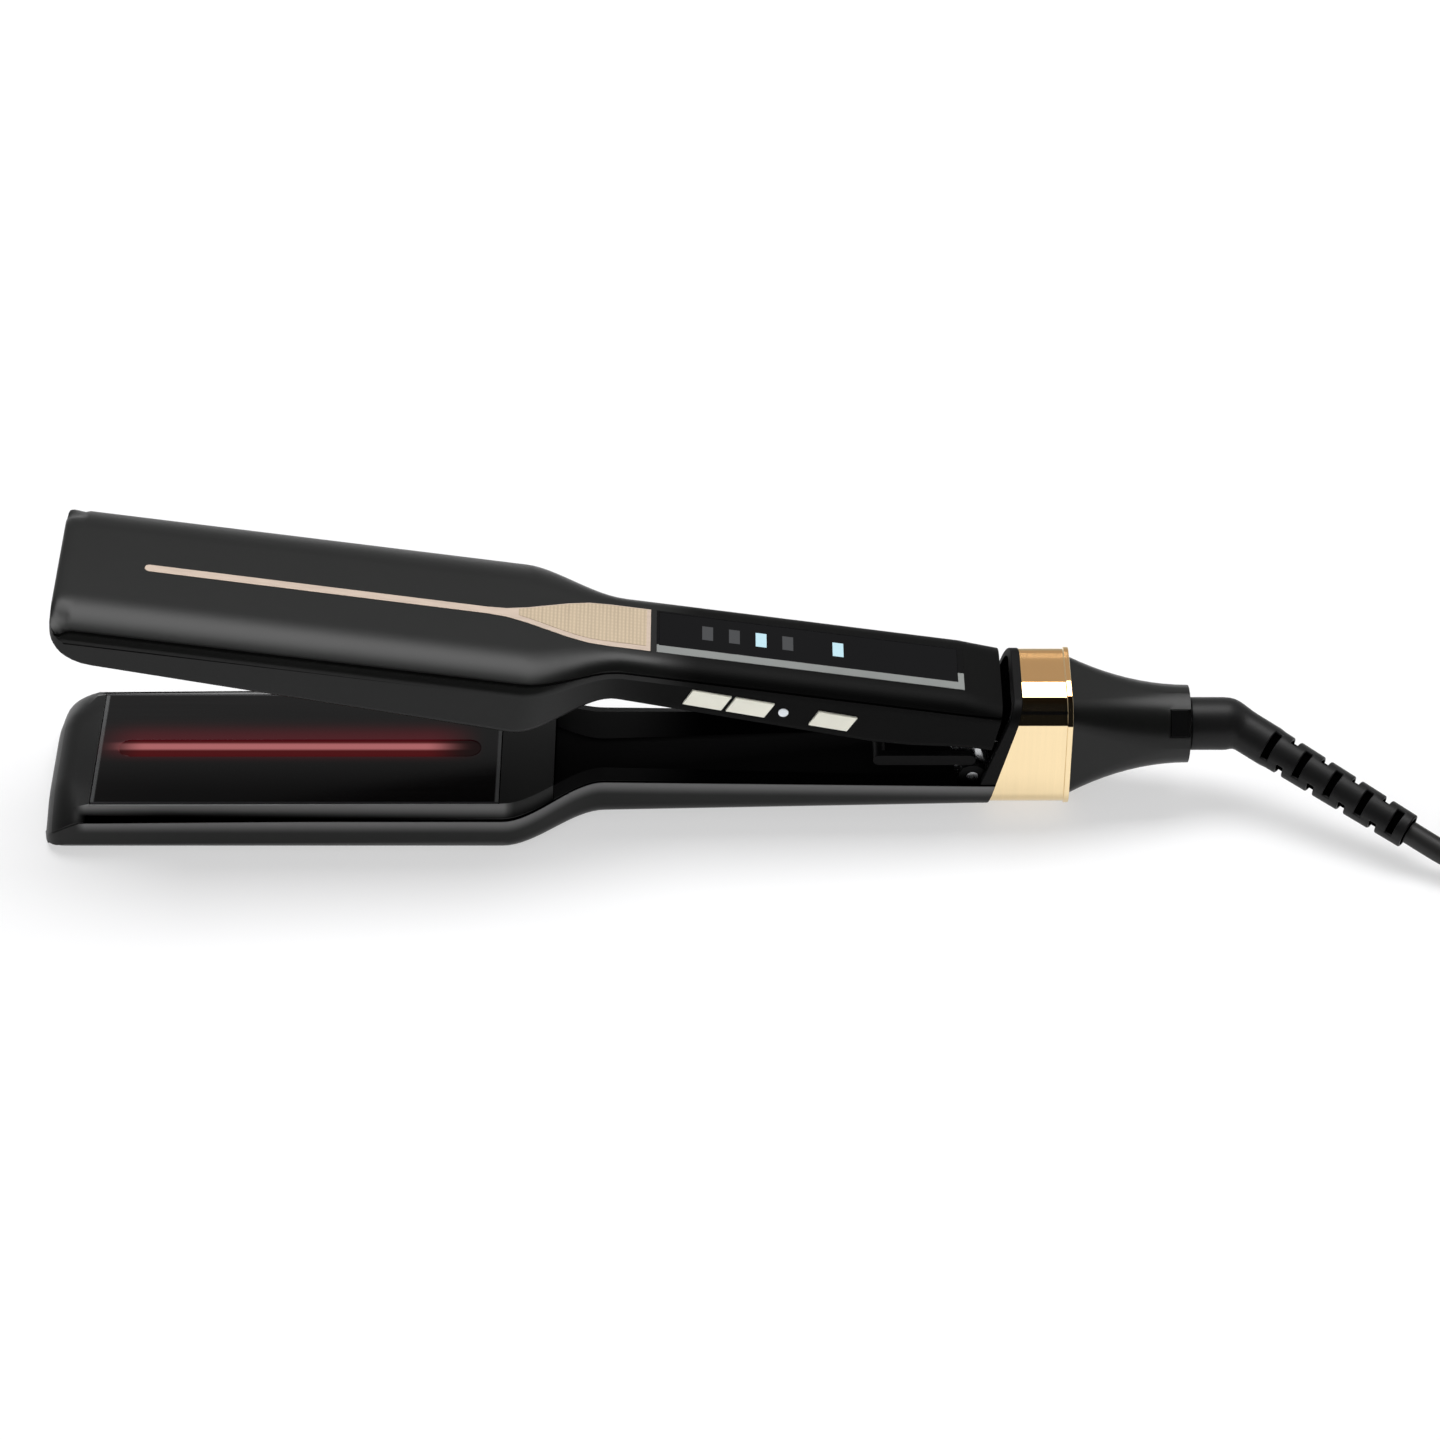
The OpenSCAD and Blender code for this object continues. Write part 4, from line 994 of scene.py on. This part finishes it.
FINISHES = (
    Moulded("black_satin", SATIN, 0.36, 0.22, 0.5, 0.10, 0.10, specular=0.26),
    # Frame rail: painted highlight on its bevel, painted shade in the seam and over the nose.
    SeamedPlastic("black_matte", (0.0040, 0.0042, 0.0041), 0.40, 0.25, 0.6, 0.12, 0.12,
                  specular=0.24, lip=Lip.OVER, painted_shading=0.22),
    Moulded("black_gloss", (0.0025, 0.0025, 0.0030), 0.07, 0.8, 0.1, 0.01, 0.10, specular=0.14),
    LitPlate("plate_coating", (0.0030, 0.0026, 0.0027), 0.14, 0.058, LINE_PINK),
    Moulded("heater_ceramic", (0.66, 0.62, 0.56), 0.6, 0.3, 0.6, 0.2, 0.08),
    GlowingWindow("red_window", (0.064, 0.0008, 0.002), LINE_PINK, 1.0),
    ClearTube("emitter_glass", (1.0, 0.5, 0.42)),
    Moulded("silicone", (0.62, 0.63, 0.62), 0.55, 0.4, 0.4, 0.1, 0.08),
    LinedMetal("gold_satin", (0.93, 0.74, 0.45), 0.11, (1.0, 0.03, 0.03), 0.008, change=0.015),
    Metal("gold_trim", (0.51, 0.41, 0.335), 0.42, (0.04, 1.0, 1.0), 0.06, 0.3),
    HatchedMetal("gold_engraved", (0.40, 0.32, 0.225), 0.5, (1.0, 0.04, 1.0), 0.10, 0.3, 0.08),
    PanelSurround("grey_satin", (0.205, 0.215, 0.208), 0.34, 0.3, 0.3, 0.05, 0.08, specular=0.3),
    LightWindow("mark_dim", (0.06, 0.062, 0.066), 0.6),
    LightWindow("mark_lit", (0.56, 0.82, 0.91), 0.68),
    Moulded("button_cream", (0.83, 0.82, 0.71), 0.30, 0.5, 0.3, 0.06, 0.05, 0.1),
    Moulded("led_lens", (0.75, 0.80, 0.83), 0.2, 0.5, 0.2, 0.03, 0.05, 0.3),
    Moulded("board_green", (0.02, 0.10, 0.045), 0.35, 0.5, 0.5, 0.1, 0.25, 0.3),
    Metal("steel", (0.56, 0.57, 0.58), 0.28, (1.0, 0.05, 1.0), 0.08),
    Metal("screw_steel", (0.22, 0.225, 0.23), 0.34, (1.0, 1.0, 0.1), 0.06),
    Moulded("block_cream", (0.72, 0.69, 0.60), 0.5, 0.4, 0.5, 0.12, 0.06),
    Moulded("cord_pvc", (0.0100, 0.0098, 0.0094), 0.48, 0.5, 0.5, 0.08, 0.15, specular=0.35),
    # Boot: painted shade in its slots.
    GroovedRubber("boot_rubber", (0.0050, 0.0050, 0.0051), 0.46, 0.35, 0.6, 0.14, 0.14,
                  specular=0.24),
    Metal("pin_metal", (0.70, 0.70, 0.71), 0.16, (1.0, 0.05, 1.0), 0.03),
    # Shell: painted highlight below its rim and painted shade in the seam.
    SeamedPlastic("shell_satin", SATIN, 0.36, 0.22, 0.5, 0.10, 0.10, specular=0.26, painted_shading=0.13),
    # Frame and cover: painted shade along the handle.
    ShadedPlastic("frame_satin", (0.0045, 0.0047, 0.0045), 0.38, 0.22, 0.5, 0.10, 0.10,
                  specular=0.24),
    ShadedPlastic("cover_satin", SATIN, 0.36, 0.22, 0.5, 0.10, 0.10, specular=0.26,
                  handle=0.2, turn=(0.0, 0.018)),
    # Black plastic made darker than the satin, as painted shade on the hinge shroud, the collar
    # and the swivel clip.
    Moulded("trough_black", (0.0012, 0.0012, 0.0013), 0.55, 0.25, 0.6, 0.12, 0.12, specular=0.12),
    # Trough liner: black plastic made darker than the others as painted shade in the trough, with
    # painted light on its far wall.
    TroughPlastic("trough_lined", (0.0006, 0.0006, 0.0007), 0.55, 0.25, 0.6, 0.12, 0.12,
                  specular=0.03),
)


def make_finishes() -> dict[str, Material]:
    """Builds the shared groups and then every finish.

    Returns:
        The materials by name.
    """
    for build in (moulded_grain_group, brushed_group, lit_line_group, seam_group,
                  plate_edge_group):
        build()
    return {finish.name: finish.material() for finish in FINISHES}


@dataclass(frozen=True)
class Part:
    """How the copy of one node is rounded, in mm and degrees, and dressed."""

    node: str
    body: Body
    slot: str
    width: float
    segments: int
    angle: float
    finish: str = ""
    name: str = ""

    def make(self, finishes: dict[str, Material], piece: Object | None = None) -> Object:
        """Makes the piece.

        Args:
            finishes: The materials by name.
            piece: The node's copy where it has been changed already.

        Returns:
            The dressed piece.
        """
        piece = piece or copy_of(self.node, self.name)
        round_edges(piece, self.width, self.segments, self.angle)
        material = finishes[self.finish or self.slot]
        return finish_piece(piece, self.body, material, (self.node,))


def dress_nodes(finishes: dict[str, Material], slots: dict[str, str]) -> None:
    """Gives nodes that are carried over their materials.

    Args:
        finishes: The materials by name.
        slots: Each node's slot.
    """
    for node, slot in slots.items():
        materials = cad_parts[node].data.materials
        materials.clear()
        materials.append(finishes[slot])
        LOG.info("%s dressed", node)


# ---------------------------------------------------------------- studio


@dataclass
class Studio:
    """Camera, pale floor and soft lights."""

    target: Triple = (0.0231, 0.0, 0.0259)
    distance: float = 1.35
    height_angle: float = 40.0
    frame_width: float = 0.42667
    sensor: float = 36.0
    clip: Span = (0.05, 30.0)
    floor_size: float = 9.0
    floor_drop: float = 0.00005
    floor_tone: Triple = (0.86, 0.86, 0.87)
    floor_light: float = 0.5
    front_shade: float = 0.006
    wall_shade: float = 0.42

    def camera(self) -> Object:
        """Makes the camera, which looks square across the iron from the button side.

        Returns:
            The camera.
        """
        lens: Camera = bpy.data.cameras.new("camera")
        camera = bpy.data.objects.new("camera", lens)
        bpy.context.scene.collection.objects.link(camera)
        tilt = math.radians(self.height_angle)
        away = Vector((0, -math.cos(tilt), math.sin(tilt)))
        camera.location = Vector(self.target) + self.distance * away
        camera.rotation_euler = (math.pi / 2 - tilt, 0, 0)
        lens.sensor_width = self.sensor
        lens.lens = self.sensor * self.distance / self.frame_width
        lens.clip_start, lens.clip_end = self.clip
        bpy.context.scene.camera = camera
        return camera

    def floor(self) -> Object:
        """Makes the pale floor, which shows white and keeps the iron's shadow.

        Returns:
            The floor.
        """
        deselect()
        bpy.ops.mesh.primitive_plane_add(size=self.floor_size,
                                         location=(0, 0, -self.floor_drop))
        floor = bpy.context.object
        floor.name = "floor"
        material = bpy.data.materials.new("floor_white")
        material.use_nodes = True
        w = Wiring(material.node_tree)
        w.put({"Roughness": 0.9, "Specular IOR Level": 0.0,
               "Base Color": scaled(self.floor_tone)})
        shine = w.node("ShaderNodeEmission", {"Color": (1, 1, 1, 1), "Strength": 1.0})
        path = w.node("ShaderNodeLightPath").outputs
        mirrored = w.math("MAXIMUM", path["Is Glossy Ray"], path["Is Transmission Ray"])
        seen = w.math("MAXIMUM", path["Is Camera Ray"], mirrored)
        mixed = w.node("ShaderNodeMixShader", {
            0: w.product(seen, self.floor_light),
            1: w.tree.nodes["Principled BSDF"].outputs[0], 2: shine.outputs[0],
        })
        w.feed(w.tree.nodes["Material Output"].inputs["Surface"], mixed.outputs[0])
        floor.data.materials.append(material)
        return floor

    def world(self) -> None:
        """Makes a white surrounding; polished faces see a lit wall behind and a dark front."""
        world = bpy.data.worlds.new("surround")
        bpy.context.scene.world = world
        world.use_nodes = True
        w = Wiring(world.node_tree)
        back = world.node_tree.nodes["Background"]
        _, y, z = w.axes(w.node("ShaderNodeTexCoord").outputs["Generated"])
        even = w.step(z, 0.05, 0.75, 0.50, 0.26)
        mirrored = w.step(y, -0.05, 0.12, self.front_shade, self.wall_shade)
        path = w.node("ShaderNodeLightPath").outputs
        seen = w.math("MAXIMUM", path["Is Camera Ray"], path["Is Transmission Ray"])
        unseen = w.between(path["Is Glossy Ray"], even, mirrored)
        w.feed(back.inputs["Strength"], w.between(seen, unseen, 1.0))
        w.feed(back.inputs["Color"], (1, 1, 1, 1))

    def lamp(self, name: str, place: Triple, size: Span, power: float) -> Object:
        """Makes one soft lamp that points at the iron.

        Args:
            name: The lamp's name.
            place: Where it hangs, in metres.
            size: Its width and height, in metres.
            power: Its power, in watts.

        Returns:
            The lamp's object.
        """
        light: Light = bpy.data.lights.new(name, "AREA")
        light.shape = "RECTANGLE"
        light.size, light.size_y = size
        light.energy = power
        lamp = bpy.data.objects.new(name, light)
        lamp.location = place
        aim = Vector(self.target) - Vector(place)
        lamp.rotation_euler = aim.to_track_quat("-Z", "Y").to_euler()
        bpy.context.scene.collection.objects.link(lamp)
        return lamp

    def build(self) -> None:
        """Makes the floor, the surround and the lamps."""
        self.floor()
        self.world()
        self.lamp("front_box", (-0.15, -1.5, 1.15), (1.6, 0.4), 9).visible_glossy = False
        self.lamp("top_box", (0.0, 0.50, 1.65), (1.7, 0.80), 32)
        bpy.context.scene.view_settings.view_transform = "Standard"


# ---------------------------------------------------------------- cord and plug


def smooth_path(points: Sequence[Vector], steps: int) -> list[Vector]:
    """A smooth curve through points, closer together.

    Args:
        points: The points to pass through.
        steps: How many new points stand for each stretch.

    Returns:
        The new points, with both ends kept.
    """
    ends = [points[0] * 2 - points[1], *points, points[-1] * 2 - points[-2]]
    result = []
    for i in range(1, len(ends) - 2):
        p0, p1, p2, p3 = ends[i - 1:i + 3]
        for k in range(steps):
            t = k / steps
            result.append(
                0.5 * (2 * p1 + (p2 - p0) * t + (2 * p0 - 5 * p1 + 4 * p2 - p3) * t ** 2
                       + (3 * p1 - p0 - 3 * p2 + p3) * t ** 3)
            )
    return [*result, points[-1]]


def ease(t: float) -> float:
    """A smooth step from 0 to 1."""
    u = min(1.0, max(0.0, t))
    return u * u * (3 - 2 * u)


@dataclass
class MainsCord:
    """The cord from the boot, through its stored coil, to the plug. Sizes are in mm."""

    diameter: float = 7.0
    turns: int = 8
    layers: int = 4
    inner_radius: float = 30.0
    gap: float = 0.5
    tie_thickness: float = 1.0
    centre: Span = (290.0, -21.5)
    start_angle: float = 236.0
    turn_points: int = 24
    flat_turns: float = 0.3
    floor_gap: float = 0.1
    stretch_points: int = 5
    roundness: int = 5
    elbow: Triple = (177.5, 0.0, 24.55)
    boot_gap: float = 0.35
    plug_at: Triple = (360.0, -23.0, 6.85)
    plug_lead: float = 7.0
    lead: tuple[Triple, ...] = (
        (229.2, -36.1, 9.7), (233.5, -39, 8.6), (238, -41.8, 7.7), (242.4, -44.6, 6.8),
        (246.9, -47.4, 6), (251.4, -50.2, 5.4), (255.9, -53, 5), (260.4, -55.9, 4.7),
    )
    tail: tuple[Triple, ...] = (
        (271.1, -64, 26.8), (278.2, -68.7, 25.4), (286.4, -72.6, 22.2), (295.6, -74.8, 17.6),
        (305.3, -74.9, 12.8), (315.3, -73.3, 8.6), (325.3, -70, 5.6), (335.5, -65.4, 4.1),
        (341.9, -61.9, 4), (347.4, -57.8, 4.2), (351.9, -53.1, 4.7), (355.5, -47.9, 5.3),
        (358, -42.3, 5.9), (359.5, -36.3, 6.5),
    )

    def coil_point(self, t: float) -> Vector:
        """The middle of the cord after some turns of the coil.

        Args:
            t: How many turns.

        Returns:
            The place, in mm.
        """
        pitch = self.diameter + self.gap
        wide = self.turns / self.layers
        radius = self.inner_radius + pitch * abs(wide - (t % (2 * wide)))
        low = self.diameter / 2 + self.tie_thickness + self.floor_gap
        if t < self.flat_turns:
            lift = 0.0
        elif t > self.turns - self.flat_turns:
            lift = self.layers - 1.0
        else:
            u = t / wide
            k = math.floor(u + 0.5)
            lift = k - 1 + ease((u - k) * wide * 2 + 0.5)
        angle = math.radians(self.start_angle + 360 * t)
        return Vector((self.centre[0] + radius * math.cos(angle),
                       self.centre[1] + radius * math.sin(angle), low + pitch * lift))

    def route(self) -> list[Vector]:
        """The cord's middle line from the boot to the plug.

        Returns:
            Its points, in metres.
        """
        end, plug = Vector(BOOT_END), Vector(self.plug_at)
        away = (end - Vector(self.elbow)).normalized()
        first = end + away * self.boot_gap
        lead = smooth_path([first, *map(Vector, self.lead), self.coil_point(0)],
                           self.stretch_points)
        count = self.turns * self.turn_points * 2
        coil = [self.coil_point(self.turns * i / count) for i in range(count + 1)]
        tail = smooth_path([coil[-1], *map(Vector, self.tail),
                            plug - Vector((0, self.plug_lead, 0)), plug], self.stretch_points)
        return [p * MM for p in (*lead[:-1], *coil[:-1], *tail)]

    def build(self, finishes: dict[str, Material], ends: Sequence[Object]) -> Object:
        """Args:
            finishes: The materials by name.
            ends: The plug's pieces and the coil's strap; not used.

        Returns:
            The cord.
        """
        points = self.route()
        data = bpy.data.curves.new("mains_cord", "CURVE")
        data.dimensions = "3D"
        data.bevel_depth = self.diameter / 2 * MM
        data.bevel_resolution = self.roundness
        data.use_fill_caps = True
        spline = data.splines.new("POLY")
        spline.points.add(len(points) - 1)
        for target, point in zip(spline.points, points):
            target.co = (*point, 1)
        spline.use_smooth = True
        cord = bpy.data.objects.new("mains_cord", data)
        bpy.context.scene.collection.objects.link(cord)
        finish_piece(cord, Body.LOWER_ARM, finishes["cord_pvc"],
                     ("cord_lead", "cord_coil", "cord_tail"))
        return cord


@dataclass
class FlatPlug:
    """Flat two-pin plug lying on its side, and the strap round the coil."""

    parts: tuple[Part, ...] = (
        Part("plug_body", Body.LOWER_ARM, "cord_pvc", 1.1, 3, 20, name="plug_moulding"),
        Part("plug_pins", Body.LOWER_ARM, "pin_metal", 0.8, 3, 40, name="plug_contacts"),
        Part("cord_tie", Body.LOWER_ARM, "boot_rubber", 0.35, 2, 30, name="coil_strap"),
    )

    def build(self, finishes: dict[str, Material]) -> list[Object]:
        """Makes the plug and the strap.

        Args:
            finishes: The materials by name.

        Returns:
            Their pieces.
        """
        return [part.make(finishes) for part in self.parts]


# ---------------------------------------------------------------- arms


def at_corner(place: Vector, corner: Triple) -> bool:
    """Whether a place in mm lies past the reach, side and height where a tip's corner starts."""
    reach, side, height = corner
    return place.x + HALF_LENGTH < reach and abs(place.y) > side and place.z > height


@dataclass
class LowerArm:
    """Lower arm: shell, plate frame, trough, plate and its red window. Sizes are in mm."""

    fixed_height: float = 4.5
    nose_drop: float = 3.4
    nose_reach: float = 13.0
    nose_cuts: tuple[float, ...] = (-20, -16, -12, -6, 6, 12, 16, 20)
    nose_corner: Triple = (3.8, 25.5, 7.0)
    outer: tuple[Part, ...] = (
        Part("lower_outer_shell", Body.LOWER_ARM, "black_satin", 0.35, 2, 35, "shell_satin"),
        Part("lower_inner_frame", Body.LOWER_ARM, "black_matte", 0.3, 2, 20),
    )
    inner: tuple[Part, ...] = (
        Part("lower_handle_liner", Body.LOWER_ARM, "black_matte", 0.3, 2, 20, "trough_lined"),
        Part("lower_heater_plate", Body.LOWER_PLATE, "plate_coating", 0.5, 3, 40),
        Part("infrared_window", Body.LOWER_PLATE, "red_window", 0.2, 2, 40),
    )

    def soften_nose(self, piece: Object) -> Object:
        """Lets the tip's two upper corners fall away in a wide round, and not what lies below.

        Args:
            piece: The shell or the frame.

        Returns:
            The same piece.
        """
        for y in self.nose_cuts:
            cut(piece, (0, y * MM, 0), (0, 1, 0))
        edit(piece, lambda place, normal: place.z < self.fixed_height * MM, "VERT")
        bpy.ops.mesh.hide()
        leave()
        sink_points(piece, lambda place, normal: at_corner(place / MM, self.nose_corner),
                    self.nose_drop, self.nose_reach)
        bpy.ops.mesh.reveal(select=False)
        leave()
        return piece

    def build(self, finishes: dict[str, Material]) -> None:
        """Makes the lower arm's pieces.

        Args:
            finishes: The materials by name.
        """
        for part in self.outer:
            part.make(finishes, self.soften_nose(copy_of(part.node)))
        for part in self.inner:
            part.make(finishes)
        dress_nodes(finishes, {
            "lower_heaters": "heater_ceramic", "lower_float_pads": "silicone",
            "infrared_emitter": "emitter_glass", "thermal_fuse": "heater_ceramic",
            "terminal_block": "block_cream", "lower_screws": "screw_steel",
        })


@dataclass
class UpperArm:
    """Upper arm: cover with its gold trim and display, frame and plate. Sizes are in mm."""

    split_drop: float = 3.6
    split_width: float = 0.6
    split_depth: float = 0.7
    corner_drop: float = 1.6
    corner_reach: float = 6.0
    tip_corner: Triple = (3.0, 24.2, 25.6)
    cover: Part = Part("upper_top_cover", Body.UPPER_ARM, "black_satin", 0.2, 2, 35, "cover_satin")
    frame: Part = Part("upper_arm_frame", Body.UPPER_ARM, "black_satin", 0.3, 2, 35, "frame_satin")
    rest: tuple[Part, ...] = (
        Part("upper_heater_plate", Body.UPPER_PLATE, "plate_coating", 0.35, 3, 40),
        Part("trim_stripe", Body.UPPER_ARM, "gold_trim", 0.12, 2, 40),
        Part("display_panel", Body.UPPER_ARM, "black_gloss", 0.08, 2, 40),
        Part("panel_bezel", Body.UPPER_ARM, "grey_satin", 0.1, 2, 40),
    )

    def soften_tip(self, piece: Object) -> Object:
        """Lets the tip's two upper corners fall away.

        Args:
            piece: The cover or the frame.

        Returns:
            The same piece.
        """
        closed = OPENED.inverted()
        sink_points(piece, lambda place, normal: at_corner(closed @ place / MM, self.tip_corner),
                    self.corner_drop, self.corner_reach)
        leave()
        return piece

    def build(self, finishes: dict[str, Material]) -> None:
        """Makes the upper arm's pieces.

        Args:
            finishes: The materials by name.
        """
        cover = copy_of(self.cover.node)
        ends = [on_crown(s, self.split_drop) for s in (0, PIN_S)]
        groove(cover, *ends, self.split_width, self.split_depth)
        self.cover.make(finishes, self.soften_tip(cover))
        self.frame.make(finishes, self.soften_tip(copy_of(self.frame.node)))
        for part in self.rest:
            part.make(finishes)
        dress_nodes(finishes, {
            "trim_insert": "gold_engraved", "display_marks_dim": "mark_dim",
            "display_marks_lit": "mark_lit", "upper_heater": "heater_ceramic",
            "upper_float_pads": "silicone", "control_board": "board_green",
            "tact_switches": "steel", "upper_screws": "screw_steel", "hinge_knuckle": "steel",
        })


@dataclass
class Controls:
    """The three side buttons and the lamp beside them."""

    parts: tuple[Part, ...] = (
        Part("button_front", Body.FRONT_BUTTON, "button_cream", 0.3, 3, 40),
        Part("button_middle", Body.MIDDLE_BUTTON, "button_cream", 0.3, 3, 40),
        Part("button_rear", Body.REAR_BUTTON, "button_cream", 0.3, 3, 40),
        Part("status_led", Body.UPPER_ARM, "led_lens", 0.15, 3, 40),
    )

    def build(self, finishes: dict[str, Material]) -> None:
        """Makes the buttons and the lamp.

        Args:
            finishes: The materials by name.
        """
        for part in self.parts:
            part.make(finishes)


@dataclass
class RearEnd:
    """Hinge, collar, gold ring, cone and the swivelling boot. Sizes are in mm."""

    stub_start: float = 162.3
    stub_end: float = 172.4
    stub_radius: float = 7.85
    bend: float = 5.0
    bend_rings: int = 6
    sides: int = 48
    smooth_part: float = 13.0
    rows: int = 9
    slot_share: float = 0.42
    slot_depth: float = 1.5
    slot_half: float = 47.0
    slot_turn: float = 131.0
    # Shroud, collar and clip take the darker black that paints shade onto them.
    parts: tuple[Part, ...] = (
        Part("hinge_shroud", Body.LOWER_ARM, "black_satin", 0.4, 3, 35, "trough_black"),
        Part("rear_collar", Body.LOWER_ARM, "black_satin", 0.3, 3, 40, "trough_black"),
        Part("gold_ring", Body.LOWER_ARM, "gold_satin", 0.35, 3, 40),
        Part("rear_cone", Body.LOWER_ARM, "black_satin", 0.3, 3, 35),
        Part("swivel_clip", Body.LOWER_ARM, "black_matte", 0.3, 3, 40, "trough_black"),
    )

    def tube(self, name: str, stops: Sequence[Span]) -> Object:
        """Draws out a round tube from stop to stop, open at its first end.

        Args:
            name: The piece's name.
            stops: Distance from its start and radius of each ring, in mm.

        Returns:
            The tube, standing at the origin along Z.
        """
        deselect()
        start, width = stops[0]
        bpy.ops.mesh.primitive_circle_add(vertices=self.sides, radius=width * MM,
                                          fill_type="NOTHING", location=(0, 0, start * MM))
        piece = settle(bpy.context.object)
        piece.name = name
        edit(piece, mode="EDGE")
        for (last, _), (stop, now) in zip(stops, stops[1:]):
            bpy.ops.mesh.extrude_region_move(
                TRANSFORM_OT_translate={"value": (0, 0, (stop - last) * MM)}
            )
            bpy.ops.transform.resize(value=(now / width, now / width, 1),
                                     center_override=(0, 0, stop * MM))
            width = now
        bpy.ops.mesh.edge_face_add()
        leave()
        return piece

    def slots(self, piece: Object, pitch: float) -> None:
        """Presses rows of slots into the boot, each row a quarter turn from the last.

        Args:
            piece: The boot, along Z.
            pitch: Distance between two rows, in mm.
        """

        def slotted(centre: Vector, normal: Vector) -> bool:
            """Whether a face of the boot's side is the floor of a slot.

            Args:
                centre: The face's middle.
                normal: Its normal.

            Returns:
                Whether it goes in.
            """
            along = (centre.z / MM - self.smooth_part) / pitch
            if abs(normal.z) > 0.5 or along < 0 or along % 1 > self.slot_share:
                return False
            angle = math.degrees(math.atan2(centre.y, centre.x)) - self.slot_turn
            turn = (angle + 90 * (int(along) % 2)) % 180
            return min(turn, 180 - turn) < self.slot_half

        sink_faces(piece, slotted, self.slot_depth)

    def boot(self, finishes: dict[str, Material]) -> Object:
        """Makes the stub and the slotted boot as one moulding that bends at the elbow.

        Args:
            finishes: The materials by name.

        Returns:
            The boot.
        """
        start, end = Vector(BOOT_START), Vector(BOOT_END)
        length = (end - start).length
        first, last = BOOT_RADII
        pitch = (length - self.smooth_part) / self.rows
        stops = [(self.bend, first), (self.smooth_part, first)]
        for row in range(self.rows):
            for share in (self.slot_share, 1.0):
                stop = self.smooth_part + (row + share) * pitch
                stops.append((stop, first + (last - first) * stop / length))
        piece = self.tube("cord_boot", stops)
        self.slots(piece, pitch)
        aim = (end - start).to_track_quat("Z", "Y").to_matrix().to_4x4()
        settle(piece, Matrix.Translation(start * MM) @ aim)
        back = self.stub_start - self.stub_end
        stub = self.tube("stub", [(0, self.stub_radius), (back, self.stub_radius)])
        lying = Matrix.Rotation(math.pi / 2, 4, "Y")
        settle(stub, Matrix.Translation((self.stub_end * MM, 0, start.z * MM)) @ lying)
        take(piece)
        stub.select_set(True)
        bpy.ops.object.join()
        self.join_bend(piece)
        round_edges(piece, 0.4, 3, 40)
        return finish_piece(piece, Body.CORD_SWIVEL, finishes["boot_rubber"],
                            ("strain_relief", "swivel_barrel"))

    def join_bend(self, piece: Object) -> None:
        """Bridges the open ends of the stub and the boot with a smooth bend.

        Args:
            piece: The stub and the boot, as one object.
        """
        edit(piece)
        bpy.ops.mesh.select_mode(type="EDGE")
        bpy.ops.mesh.select_all(action="DESELECT")
        bpy.ops.mesh.select_non_manifold(extend=False)
        bpy.ops.mesh.bridge_edge_loops(number_cuts=self.bend_rings, smoothness=1.0,
                                       interpolation="SURFACE")
        bpy.ops.mesh.select_all(action="SELECT")
        bpy.ops.mesh.normals_make_consistent(inside=False)
        leave()

    def build(self, finishes: dict[str, Material]) -> None:
        """Makes the rear end's pieces.

        Args:
            finishes: The materials by name.
        """
        for part in self.parts:
            part.make(finishes)
        dress_nodes(finishes, {"hinge_pin": "steel", "hinge_spring": "screw_steel"})
        self.boot(finishes)


def main() -> None:
    """Makes the camera and the cord, then the iron's pieces, and says what was made."""
    logging.basicConfig(level=logging.INFO, format="%(message)s")
    studio = Studio()
    studio.camera()
    finishes = make_finishes()
    MainsCord().build(finishes, FlatPlug().build(finishes))
    studio.build()
    for group in (LowerArm(), UpperArm(), Controls(), RearEnd()):
        group.build(finishes)


if __name__ == "__main__":
    main()
    deselect()
